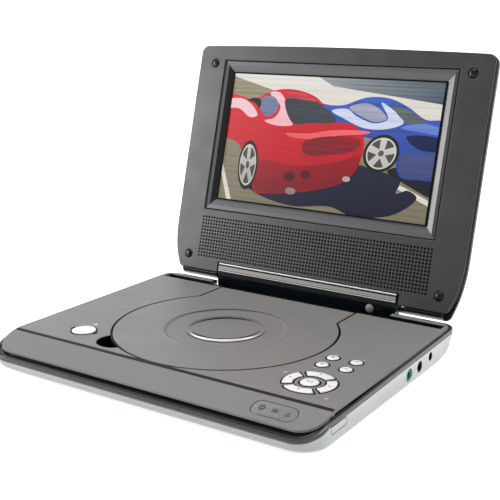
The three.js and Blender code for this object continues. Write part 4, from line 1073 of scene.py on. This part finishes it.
def add_indicator():
    window = make("status_window", slab(indicator_outline(), [], 0, -1.9, 0.5, 4))
    bend_down(window, 0)
    finish_piece(window, "base", "smoke", ["indicator_window"])
    y = INDICATOR_Y
    disc = flat_mark(circle(70.7, y, 1.9, 32), [circle(70.7, y, 0.6, 16)])
    cell = together(flat_mark(rounded(76.2, 79.2, y - 1.2, y + 1.2, 0.3, steps=3)),
                    flat_mark(rounded(79.35, 79.8, y - 0.5, y + 0.5, 0.1, steps=2)))
    bulb = flat_mark([(83.4, y - 1.6), (86.4, y - 1.6), (84.9, y + 1.6)])
    marks = make("status_marks", together(disc, cell, bulb))
    finish_piece(marks, "base", "ink")


MARKS = [  # short printed bars round the keys
    (60.8, -74.5), (60.8, -75.7), (94.2, -92.6), (94.2, -93.8),
    (71.5, -39.6), (86.5, -39.2), (70, -61.6), (85, -61),
]


def add_deck_marks():
    eject = flat_mark([(-70.3, -73.2), (-67.7, -73.2), (-69, -71.4)])
    line = flat_mark(bar(-69, -73.9, 2.6, 0.5))
    ends = [flat_mark(bar(x, y, 1.7, 0.35)) for x, y in MARKS]
    marks = make("deck_marks", together(eject, line, *ends))
    finish_piece(marks, "base", "pale_ink")
    reach = OPEN_RADIUS + KEY_GAP + 0.8
    tabs = [flat_mark(bar(OPEN_X + side * reach, OPEN_Y, 1.5, 3.6)) for side in (-1, 1)]
    finish_piece(make("open_tabs", together(*tabs)), "base", "dark")


# ---------------------------------------------------------------- hinge
FRONT_WALL = -4.7  # of the hinge cover, from the hinge axis
FACET = ((FRONT_WALL, 0.2), (-2.95, 5.11))  # the flat band that leans back above the front wall
FACET_OUT = Vector((-0.942, 0.336))


def barrel_section():
    """The hinge cover: a round top over a straight front wall with a foot."""
    low = [(-10.4, -17), (-10.4, -11.6), (-10.0, -11.2), (-5.2, -10.8), (FRONT_WALL, -10.2), FACET[0]]
    curve = arc(0, 0, BARREL_RADIUS, math.radians(120), math.radians(-50), 24)
    section = low + curve + [(-1, -11), (-1.6, -17)]
    return [(HINGE_Y + y, HINGE_Z + z) for y, z in section]


def on_facet(share, proud):
    """A point (y, z) part of the way up the facet and proud of it."""
    low, high = Vector(FACET[0]), Vector(FACET[1])
    point = low.lerp(high, share) + FACET_OUT * proud
    return HINGE_Y + point.x, HINGE_Z + point.y


def add_barrel():
    barrel = make("hinge_cover", prism_x(barrel_section(), -BARREL_HALF, BARREL_HALF))
    bores = []
    for side in (-1, 1):
        for radius, far in ((4.15, 65.1), (1.8, 67)):
            start, end = sorted((side * 57, side * far))
            bores.append(rod_x(HINGE_Y, HINGE_Z, radius, start, end, 32))
    bevel(barrel, 0.5, 3, 30)
    cut(barrel, *bores)
    finish_piece(barrel, "base", "barrel", ["hinge_barrel"], angle=25)
    add_hinge_painted_light()
    add_knob()


def add_hinge_painted_light():
    """Painted reflection: a pale strip on the facet, and a painted highlight along each of its edges."""
    start, end = -BARREL_HALF + 0.4, BARREL_HALF - 0.4
    section = [on_facet(*p) for p in ((0.22, -0.3), (0.22, 0.25), (0.7, 0.25), (0.7, -0.3))]
    strip = make("hinge_sheen", prism_x(section, start, end))
    finish_piece(strip, "base", "painted_sheen")
    for name, share, radius in (("upper", 0.97, 0.45), ("lower", 0.1, 0.22)):
        line = make(f"hinge_line_{name}", rod_x(*on_facet(share, 0.1), radius, start, end, 12))
        finish_piece(line, "base", "bright")


def add_knob():
    """The round pin head in the front wall of the hinge cover, and a small dark dot beside it."""
    knob = make("hinge_knob", along_front(lathe([
        (0, -1), (2.7, -1), (2.7, 0), (2.5, 0.7), (1.7, 1.2), (0.7, 1.4), (0, 1.45),
    ], 0, 0, 32), 48.5, HINGE_Y + FRONT_WALL, HINGE_Z - 6.0))
    finish_piece(knob, "base", "grey", ["barrel_pin"])
    dot = make("hinge_dot", along_front(lathe([
        (0, -1), (1.5, -1), (1.5, 0.15), (1.2, 0.3), (0, 0.3),
    ], 0, 0, 24), 54.5, HINGE_Y + FRONT_WALL, HINGE_Z - 5.6))
    finish_piece(dot, "base", "dark")


# ---------------------------------------------------------------- lid: front frame with grille
def grille_cells():
    """A plate of square cells, each with a round hole that opens into the dark."""
    x0, x1, y0, y1 = GRILLE
    step_x, step_y = (x1 - x0) / GRILLE_COLUMNS, (y1 - y0) / GRILLE_ROWS
    sides = 12
    ways = [2 * math.pi * (i + 0.5) / sides for i in range(sides)]
    edges = [1 / max(abs(math.cos(a)), abs(math.sin(a))) for a in ways]
    verts, faces = [], []
    for row in range(GRILLE_ROWS):
        for column in range(GRILLE_COLUMNS):
            x, y = x0 + (column + 0.5) * step_x, y0 + (row + 0.5) * step_y
            start = len(verts)
            verts += [(x + step_x / 2 * e * math.cos(a), y + step_y / 2 * e * math.sin(a), FACE_Z)
                      for a, e in zip(ways, edges)]
            for radius, z in ((GRILLE_HOLE, FACE_Z), (GRILLE_HOLE, FACE_Z - GRILLE_DEPTH)):
                verts += [(x + radius * math.cos(a), y + radius * math.sin(a), z) for a in ways]
            faces += bridge(start, start + sides, sides) + bridge(start + sides, start + 2 * sides, sides)
    return verts, faces


def barrel_room(depth):
    """The room for the hinge cover in the lid's lower edge, cut down to a depth."""
    return [
        block(-LID_NOTCH_HALF, LID_NOTCH_HALF, -20, LID_NOTCH_TOP, depth, 9),
        rod_x(0, 0, BARREL_RADIUS + 0.5, -LID_NOTCH_HALF, LID_NOTCH_HALF, 48),
    ]


ARM_CUTS = [block(-74.5, -66, -3, 5, -2, 2.1), block(66, 74.5, -3, 5, -2, 2.1)]
GRILLE_DEPTH = 1.6


def add_bezel():
    """The front frame round the screen, open for the grille, the stops and the hinge."""
    plate = slab(lid_outline(FACE_BOTTOM), [frame_outline(REVEAL, 0)], FACE_Z, PART_LINE, 0.6, 4)
    bezel = make("screen_frame", plate)
    pockets = [prism(circle(x, y, BUMPER_RADIUS + 0.4, 40), FACE_Z - 1.2, FACE_Z + 1)
               for x, y in BUMPERS.values()]
    grille = block(*GRILLE, FACE_Z - GRILLE_DEPTH, FACE_Z + 1)
    cut(bezel, grille, *barrel_room(-5), *pockets, *ARM_CUTS)
    cut(bezel, block(-100, 100, 10, 146, -3, GLASS_Z + 0.3))
    finish_piece(bezel, "screen_lid", "lid", ["lid_bezel"], angle=25)
    add_lid_rim()
    add_grille()
    add_reveal()


def add_lid_rim():
    """The dark edge between the front frame and the back shell."""
    rim = make("lid_rim", wall(lid_outline(FACE_BOTTOM), lambda y: [
        (-0.9, FACE_Z - 0.75), (-0.1, FACE_Z - 0.85), (0.12, FACE_Z - 1.2), (0.2, FACE_Z - 2.6),
        (0.12, PART_LINE + 0.2), (-0.1, PART_LINE - 0.1), (-0.9, PART_LINE - 0.15),
    ]))
    cut(rim, *barrel_room(-5), *ARM_CUTS)
    finish_piece(rim, "screen_lid", "dark", angle=50)


def add_grille():
    finish_piece(make("speaker_grille", grille_cells()), "screen_lid", "lid")
    back = make("grille_back", block(*GRILLE, FACE_Z - GRILLE_DEPTH - 0.6, FACE_Z - GRILLE_DEPTH))
    finish_piece(back, "screen_lid", "dark")


# Painted light and shade: boards on some sides take a shaded copy of the reveal grey, and boards on other
# sides a lit copy.
REVEAL_LOOKS = {
    "outer": ("reveal", "reveal_painted_shade", "reveal", "reveal_painted_light"),
    "inner": ("reveal", "reveal_painted_light", "reveal", "reveal_painted_shade"),
}


def add_reveal():
    """Four mitred sloping boards between the frame and the picture."""
    def corners(share, z):
        x0, x1, y0, y1 = (a + (b - a) * share for a, b in zip(REVEAL, WINDOW))
        return [(x0, y0, z), (x1, y0, z), (x1, y1, z), (x0, y1, z)]
    low, high = GLASS_Z + 0.3, FACE_Z - 0.5
    middle = FACE_Z - 1.1
    steps = {"outer": (0.0, 0.42, high, middle), "inner": (0.42, 1.0, middle, low + 0.05)}
    for step, (start, end, start_z, end_z) in steps.items():
        rings = [corners(start, low), corners(start, start_z), corners(end, end_z), corners(end, low)]
        for i, side in enumerate(("bottom", "right", "top", "left")):
            verts = [ring[i] for ring in rings] + [ring[(i + 1) % 4] for ring in rings]
            board = make(f"reveal_{step}_{side}", (verts, bridge(0, 4, 4) + [(3, 2, 1, 0), (4, 5, 6, 7)]))
            finish_piece(board, "screen_lid", REVEAL_LOOKS[step][i])
    for name, box, inner, outer, top, look in (
        ("picture_edge", WINDOW, -0.8, 0.0, GLASS_Z + 1.3, "dark"),
        ("reveal_gap", REVEAL, -0.55, 0.0, FACE_Z - 0.2, "dark"),
    ):
        ring = [frame_outline(box, outer), frame_outline(box, inner)[::-1]]
        edge = make(name, slab(ring[0], [ring[1]], top, GLASS_Z + 0.35, 0.05, 1))
        finish_piece(edge, "screen_lid", look)


# ---------------------------------------------------------------- lid: the picture on the screen
# Two sports cars on a track, drawn in shares of the window: (0, 0) is its lower left corner.
TRACK = {
    "road": ([
        (0, 0), (1, 0), (1, 1), (0, 1),
    ], (128, 122, 98), (160, 150, 122), (0, 1), 0.35, False),
    "wall": ([
        (0, 1), (0, 0.97), (0.25, 0.86), (1, 0.6), (1, 1),
    ], (214, 206, 190), (232, 228, 220), (0, 1), 0.1, False),
    "wall_top": ([
        (0.42, 1), (0.5, 0.93), (1, 0.84), (1, 1),
    ], (60, 78, 92), (196, 202, 204), (-0.8, 1), 0.5, False),
    "line_left": ([
        (0, 0.3), (0, 0.22), (0.05, 0), (0.075, 0),
    ], (222, 218, 205), (222, 218, 205), (0, 1), 0.2, False),
    "line_right": ([
        (0.8, 0.27), (1, 0.13), (1, 0.17), (0.82, 0.29),
    ], (226, 222, 208), (226, 222, 208), (0, 1), 0.1, False),
    "shade": ([
        (0.1, 0.2), (0.2, 0.08), (0.38, 0.02), (0.56, 0.05), (0.68, 0), (0.84, 0.04), (0.94, 0.17),
        (0.9, 0.23), (0.85, 0.2), (0.86, 0.29), (0.78, 0.34), (0.5, 0.4), (0.2, 0.3),
    ], (22, 25, 44), (40, 44, 66), (0, 2), 0.2, True),
    "shade_right": ([
        (0.8, 0.36), (0.9, 0.26), (1.02, 0.2), (1.02, 0.42),
    ], (24, 24, 36), (40, 40, 54), (0, 1), 0.1, True),
}
BLUE_CAR = {
    "body": ([
        (0.44, 0.8), (0.5, 0.79), (0.57, 0.8), (0.66, 0.86), (0.76, 0.865), (0.85, 0.81), (0.93, 0.73),
        (1.03, 0.7), (1.03, 0.35), (0.93, 0.31), (0.85, 0.33), (0.8, 0.55), (0.7, 0.57), (0.6, 0.6),
        (0.5, 0.7),
    ], (28, 44, 118), (70, 104, 205), (0, 1.1), 0.5, True),
    "flank": ([
        (0.51, 0.75), (0.58, 0.77), (0.63, 0.72), (0.71, 0.68), (0.77, 0.72), (0.73, 0.83),
        (0.79, 0.78), (0.84, 0.7), (0.77, 0.645), (0.67, 0.64), (0.57, 0.7),
    ], (186, 202, 240), (226, 232, 250), (0, 1), 0.2, True),
    "side_glass": ([
        (0.59, 0.78), (0.66, 0.82), (0.72, 0.79), (0.765, 0.72), (0.72, 0.69), (0.66, 0.715),
    ], (120, 126, 156), (186, 190, 208), (1, 0), 0.3, True),
    "rear_glass": ([
        (0.78, 0.81), (0.85, 0.79), (0.94, 0.7), (0.86, 0.69),
    ], (18, 24, 38), (120, 134, 130), (0, 0.9), 0.4, True),
    "wing": ([
        (0.83, 0.66), (0.92, 0.7), (1.02, 0.67), (1.02, 0.63), (0.92, 0.64),
    ], (62, 96, 196), (120, 150, 226), (0, 1), 0.2, True),
    "vent": ([
        (0.86, 0.6), (0.93, 0.62), (1.02, 0.6), (1.02, 0.52), (0.92, 0.52),
    ], (12, 18, 48), (30, 44, 96), (0, 1), 0.3, True),
    "bumper": ([
        (0.85, 0.47), (0.92, 0.49), (1.02, 0.48), (1.02, 0.36), (0.94, 0.32), (0.86, 0.33),
    ], (54, 62, 110), (92, 104, 158), (0, 1), 0.3, True),
}
RED_CAR = {
    "body": ([
        (-0.03, 0.81), (0.05, 0.82), (0.12, 0.79), (0.17, 0.84), (0.25, 0.885), (0.34, 0.885),
        (0.43, 0.84), (0.5, 0.74), (0.54, 0.67), (0.62, 0.66), (0.675, 0.57), (0.68, 0.44),
        (0.65, 0.3), (0.58, 0.21), (0.42, 0.13), (0.26, 0.09), (0.18, 0.11), (0.16, 0.34),
        (0.11, 0.36), (0.07, 0.45), (-0.03, 0.53),
    ], (170, 12, 24), (232, 36, 48), (0, 1.1), 0.3, True),
    "hood": ([
        (-0.02, 0.78), (0.05, 0.8), (0.11, 0.76), (0.15, 0.68), (0.11, 0.66), (0.05, 0.72),
        (-0.02, 0.72),
    ], (246, 168, 184), (250, 214, 220), (0, 1), 0.1, True),
    "pillar": ([
        (0.2, 0.85), (0.25, 0.86), (0.29, 0.78), (0.32, 0.68), (0.33, 0.62), (0.25, 0.61),
        (0.19, 0.64), (0.24, 0.67), (0.26, 0.76),
    ], (236, 96, 108), (252, 216, 220), (0, 1), 0.1, True),
    "roof": ([
        (0.27, 0.86), (0.35, 0.87), (0.43, 0.82), (0.4, 0.81), (0.3, 0.82),
    ], (180, 14, 26), (255, 96, 100), (1.4, 0), 0.5, True),
    "side_glass": ([
        (0.145, 0.79), (0.2, 0.83), (0.235, 0.81), (0.25, 0.74), (0.22, 0.68), (0.18, 0.69),
    ], (40, 52, 84), (138, 152, 186), (0, 0.9), 0.3, True),
    "rear_glass": ([
        (0.28, 0.81), (0.38, 0.815), (0.46, 0.79), (0.54, 0.67), (0.42, 0.645), (0.33, 0.64),
    ], (14, 18, 22), (86, 98, 104), (0.9, 0.2), 0.6, True),
    "mirror": ([
        (0.09, 0.79), (0.13, 0.81), (0.16, 0.79), (0.155, 0.73), (0.13, 0.77),
    ], (20, 8, 14), (40, 14, 22), (0, 1), 0, True),
    "wing": ([
        (0.31, 0.56), (0.42, 0.57), (0.54, 0.61), (0.68, 0.62), (0.69, 0.6), (0.56, 0.57),
        (0.45, 0.53), (0.34, 0.53),
    ], (236, 60, 66), (255, 128, 128), (1, 0), 0.1, True),
    "vent": ([
        (0.4, 0.5), (0.48, 0.55), (0.6, 0.57), (0.66, 0.55), (0.65, 0.48), (0.55, 0.43), (0.42, 0.41),
    ], (92, 8, 16), (176, 30, 38), (1, 0.2), 0.8, True),
    "bumper": ([
        (0.19, 0.33), (0.38, 0.32), (0.55, 0.37), (0.67, 0.44), (0.65, 0.31), (0.58, 0.215),
        (0.42, 0.135), (0.26, 0.095), (0.185, 0.12),
    ], (120, 16, 22), (196, 34, 40), (-0.4, 1.6), 0.2, True),
}
CAR_DISCS = [  # lamps and pipes: centre, half width, half height, colours
    ("lamp", 0.355, 0.235, 0.033, 0.044, (104, 12, 18), (150, 40, 40)),
    ("lamp_inner", 0.355, 0.235, 0.025, 0.034, (60, 12, 16), (110, 30, 34)),
    ("lamp_2", 0.432, 0.262, 0.031, 0.042, (104, 12, 18), (150, 40, 40)),
    ("lamp_2_inner", 0.432, 0.262, 0.023, 0.032, (60, 12, 16), (110, 30, 34)),
    ("pipe", 0.37, 0.128, 0.026, 0.026, (20, 18, 20), (236, 226, 220)),
    ("pipe_2", 0.625, 0.262, 0.018, 0.02, (20, 18, 20), (236, 226, 220)),
]
CAR_WHEELS = {  # centre, half width, half height, lean
    "red": (0.138, 0.29, 0.05, 0.19, -0.06),
    "blue": (0.762, 0.47, 0.078, 0.135, 0.1),
}
PICTURE_STEP = 0.02  # each part of the picture lies this much in front of the last


def spline(before, start, end, after, t):
    """A value between start and end on a smooth curve that also heeds their neighbours."""
    bend = 2 * before - 5 * start + 4 * end - after
    twist = 3 * start - before - 3 * end + after
    return 0.5 * (2 * start + (end - before) * t + bend * t * t + twist * t ** 3)


def closed_curve(points, steps=5):
    """A smooth closed curve through the points."""
    curve = []
    count = len(points)
    for i in range(count):
        a, b, c, d = (points[(i + k) % count] for k in (-1, 0, 1, 2))
        for step in range(steps):
            t = step / steps
            curve.append(tuple(spline(*values, t) for values in zip(a, b, c, d)))
    return curve


def inside_window(points):
    """The part of an outline that lies in the window."""
    for axis, limit, sign in ((0, 0.0, 1), (0, 1.0, -1), (1, 0.0, 1), (1, 1.0, -1)):
        kept = []
        for i, p in enumerate(points):
            before = points[i - 1]
            now_in, before_in = (sign * (q[axis] - limit) >= 0 for q in (p, before))
            if now_in != before_in:
                t = (limit - before[axis]) / (p[axis] - before[axis])
                kept.append(tuple(q + (r - q) * t for q, r in zip(before, p)))
            if now_in:
                kept.append(p)
        points = kept
    return without_repeats(points)


class Picture:
    """Lays the flat parts of the picture over one another."""
    level = 0

    def add(self, name, points, look):
        x0, x1, y0, y1 = WINDOW
        self.level += 1
        top = GLASS_Z + PICTURE_STEP * self.level
        points = anticlockwise(inside_window(points))
        outline = [(blended(x0, x1, u), blended(y0, y1, v)) for u, v in points]
        part = make(f"picture_{name}", prism(outline, top - PICTURE_STEP * 0.9, top))
        uv = part.data.uv_layers.new(name="window")
        for loop in part.data.loops:
            x, y = part.data.vertices[loop.vertex_index].co[:2]
            uv.data[loop.index].uv = ((x - x0) / (x1 - x0), (y - y0) / (y1 - y0))
        finish_piece(part, "screen_lid", look)

    def add_scene(self, prefix, parts):
        for name, (points, low, high, direction, streaks, smooth) in parts.items():
            outline = closed_curve(points) if smooth else points
            self.add(f"{prefix}_{name}", outline, lit(f"{prefix}_{name}", low, high, direction, streaks))

    def add_wheel(self, name, u, v, half_u, half_v, lean):
        def placed(ring):
            return [(u + x * half_u + lean * y * half_u, v + y * half_v) for x, y in ring]

        def add_round(part, share, low, high):
            self.add(f"{name}_{part}", placed(circle(0, 0, share, 40)), lit(f"{name}_{part}", low, high))

        add_round("tyre", 1, (16, 16, 18), (44, 42, 40))
        add_round("rim", 0.84, (196, 192, 180), (226, 224, 214))
        add_round("hollow", 0.76, (60, 58, 54), (96, 94, 88))
        spoke = lit(f"{name}_spoke", (150, 148, 142), (238, 236, 230))
        for k in range(5):
            middle = 2 * math.pi * (k + 0.25) / 5
            ring = [(0.16, middle - 1.1), (0.78, middle - 0.24), (0.78, middle + 0.24), (0.16, middle + 1.1)]
            points = [(r * math.cos(a), r * math.sin(a)) for r, a in ring]
            self.add(f"{name}_spoke_{k + 1}", placed(points), spoke)
        add_round("hub", 0.16, (40, 40, 42), (120, 120, 120))


def add_picture():
    """The lit picture, built up from the track to the nearer car."""
    picture = Picture()
    picture.add_scene("track", TRACK)
    picture.add_scene("blue", BLUE_CAR)
    picture.add_wheel("blue", *CAR_WHEELS["blue"])
    picture.add_scene("red", RED_CAR)
    for name, u, v, half_u, half_v, low, high in CAR_DISCS:
        ring = [(u + x * half_u, v + y * half_v) for x, y in circle(0, 0, 1, 24)]
        picture.add(name, ring, lit(name, low, high, (0.5, 0.8)))
    picture.add_wheel("red", *CAR_WHEELS["red"])


# ---------------------------------------------------------------- lid: back shell, chin and bumpers
def add_lid_back():
    """The black back shell, rounded all the way round."""
    top = PART_LINE - 0.35
    middle = (LID_TOP + CHIN_BOTTOM) / 2

    def ring(inset, z, bottom=CHIN_BOTTOM):
        sx, sy = 1 - inset / LID_HALF, 1 - inset / ((LID_TOP - bottom) / 2)
        return [(x * sx, middle + (y - middle) * sy, z) for x, y in lid_outline(bottom)]

    rings = [ring(11, LID_BACK_Z + 2), ring(5.5, LID_BACK_Z + 4.5), ring(2, LID_BACK_Z + 8), ring(2, top),
             ring(0.5, top), ring(0.15, top - 0.1), ring(0, top - 0.4)]
    steps = 10
    for i in range(steps + 1):
        angle = math.pi / 2 * i / steps
        rings.append(ring(9 * (1 - math.cos(angle)), LID_BACK_Z + 8 * (1 - math.sin(angle))))
    shell = make("back_cover", loft(rings))
    cut(shell, *barrel_room(-14))
    finish_piece(shell, "screen_lid", "shell", ["lid_back"], angle=25)
    add_chin()


def add_chin():
    """The rounded black edge under the grille, on both sides of the hinge cover."""
    top = FACE_BOTTOM
    for side, name in ((-1, "left"), (1, "right")):
        start, end = sorted((side * (LID_NOTCH_HALF + 0.2), side * 95.5))
        section = [
            (top - 0.35, PART_LINE - 2), (top - 0.35, FACE_Z - 0.7), (top - 1.0, FACE_Z - 0.45),
            (top - 2.0, FACE_Z - 0.8), (top - 3.2, FACE_Z - 2.0), (CHIN_BOTTOM + 0.4, FACE_Z - 3.6),
            (CHIN_BOTTOM + 0.05, PART_LINE), (CHIN_BOTTOM + 0.05, PART_LINE - 2),
        ]
        chin = make(f"lid_chin_{name}", prism_x(section, start, end))
        bevel(chin, 0.6, 3, 60)
        finish_piece(chin, "screen_lid", "black", angle=40)


def add_bumpers():
    """Four rubber stops on the lid's front frame."""
    r = BUMPER_RADIUS
    for name, (x, y) in BUMPERS.items():
        bumper = make(f"stop_{name}", lathe([
            (0, FACE_Z - 1.1), (r, FACE_Z - 1.1), (r, FACE_Z - 0.2), (r * 0.92, FACE_Z + 0.2),
            (r * 0.72, FACE_Z + 0.55), (r * 0.4, FACE_Z + 0.77), (0, FACE_Z + 0.82),
        ], x, y, 40))
        finish_piece(bumper, "screen_lid", "rubber", [f"bumper_{name}"])


add_deck()
add_crease_shade()
add_bay_gap_shade()
add_deck_skirt()
add_rear_channel()
add_disc_lid()
add_keys()
add_key_gap_shade()
add_key_marks()
add_side_band()
add_front_roll()
add_bottom_shell()
add_sockets()
add_indicator()
add_deck_marks()
add_barrel()
add_bezel()
add_picture()
add_lid_back()
add_bumpers()


# ---------------------------------------------------------------- camera, light and floor
CAMERA_AZIMUTH, CAMERA_ELEVATION = math.radians(33.49), math.radians(14.45)
CAMERA_PLACE = (292.03, -456.94, 178.34)  # deck coordinates
LENS = 68.08
LIGHTS = {  # place and target in metres, size, watts
    "left_front": ((-1.0, -0.72, 0.4), (0, 0, 0.1), (0.4, 0.6), 11),
    "overhead": ((-0.05, 0.0, 1.2), (0, 0, 0), (0.45, 0.4), 9),
    "right_side": ((1.1, -0.2, 0.5), (0, 0, 0), (0.4, 0.6), 3),
}
WHITE = (1.0, 1.0, 1.0, 1.0)


def add_camera():
    """A camera in front and to the right, a little above the lid."""
    data = bpy.data.cameras.new("camera")
    data.lens = LENS
    data.sensor_width = 36.0
    data.clip_start, data.clip_end = 0.01, 20.0
    camera = bpy.data.objects.new("camera", data)
    bpy.context.scene.collection.objects.link(camera)
    back = Vector((
        math.sin(CAMERA_AZIMUTH) * math.cos(CAMERA_ELEVATION),
        -math.cos(CAMERA_AZIMUTH) * math.cos(CAMERA_ELEVATION),
        math.sin(CAMERA_ELEVATION),
    ))
    camera.location = DECK @ Vector(CAMERA_PLACE)
    camera.rotation_euler = (-back).to_track_quat("-Z", "Y").to_euler()
    bpy.context.scene.camera = camera


def add_light(name, place, target, size, power):
    data = bpy.data.lights.new(name, "AREA")
    data.shape = "RECTANGLE"
    data.size, data.size_y = size
    data.energy = power
    lamp = bpy.data.objects.new(name, data)
    lamp.location = place
    lamp.rotation_euler = (Vector(target) - Vector(place)).to_track_quat("-Z", "Y").to_euler()
    bpy.context.scene.collection.objects.link(lamp)


def glowing(name, color, strength):
    """Evenly lit paper, a little cloudy."""
    material, tree, shader, place = blank(name)
    tone = mixed(tree, noise(tree, place, 4.0, 2.0), shaded(color, 0.99), color)
    tree.links.new(tone, shader.inputs["Emission Color"])
    shader.inputs["Emission Strength"].default_value = strength
    shader.inputs["Base Color"].default_value = (0.6, 0.6, 0.6, 1)
    shader.inputs["Roughness"].default_value = 0.7
    return material


def add_studio():
    """Even white light, three soft lamps, a pale floor and a pale sheet behind."""
    world = bpy.data.worlds.new("studio")
    world.use_nodes = True
    world.node_tree.nodes["Background"].inputs["Color"].default_value = (1.0, 0.985, 0.97, 1)
    world.node_tree.nodes["Background"].inputs["Strength"].default_value = 0.3
    bpy.context.scene.world = world
    bpy.context.scene.view_settings.view_transform = "Standard"
    for name, settings in LIGHTS.items():
        add_light(name, *settings)
    floor = make("floor", slab(circle(0, 0, 3000, 64), [], 0, -10, 1))
    floor.data.transform(TO_METRES)
    floor.data.materials.append(glowing("pale_floor", WHITE, 0.8))
    sheet = make("backdrop", backdrop())
    sheet.data.transform(TO_METRES)
    sheet.data.materials.append(glowing("pale_backdrop", WHITE, 1.05))


def backdrop():
    """A tall curved sheet behind the player."""
    ways = [math.radians(a) for a in range(20, 221, 10)]
    rings = [[(r * math.cos(a), r * math.sin(a)) for a in ways] for r in (2600, 2620)]
    outline = rings[0][::-1] + rings[1]
    return prism(anticlockwise(outline), -5, 3500)


add_camera()
add_studio()
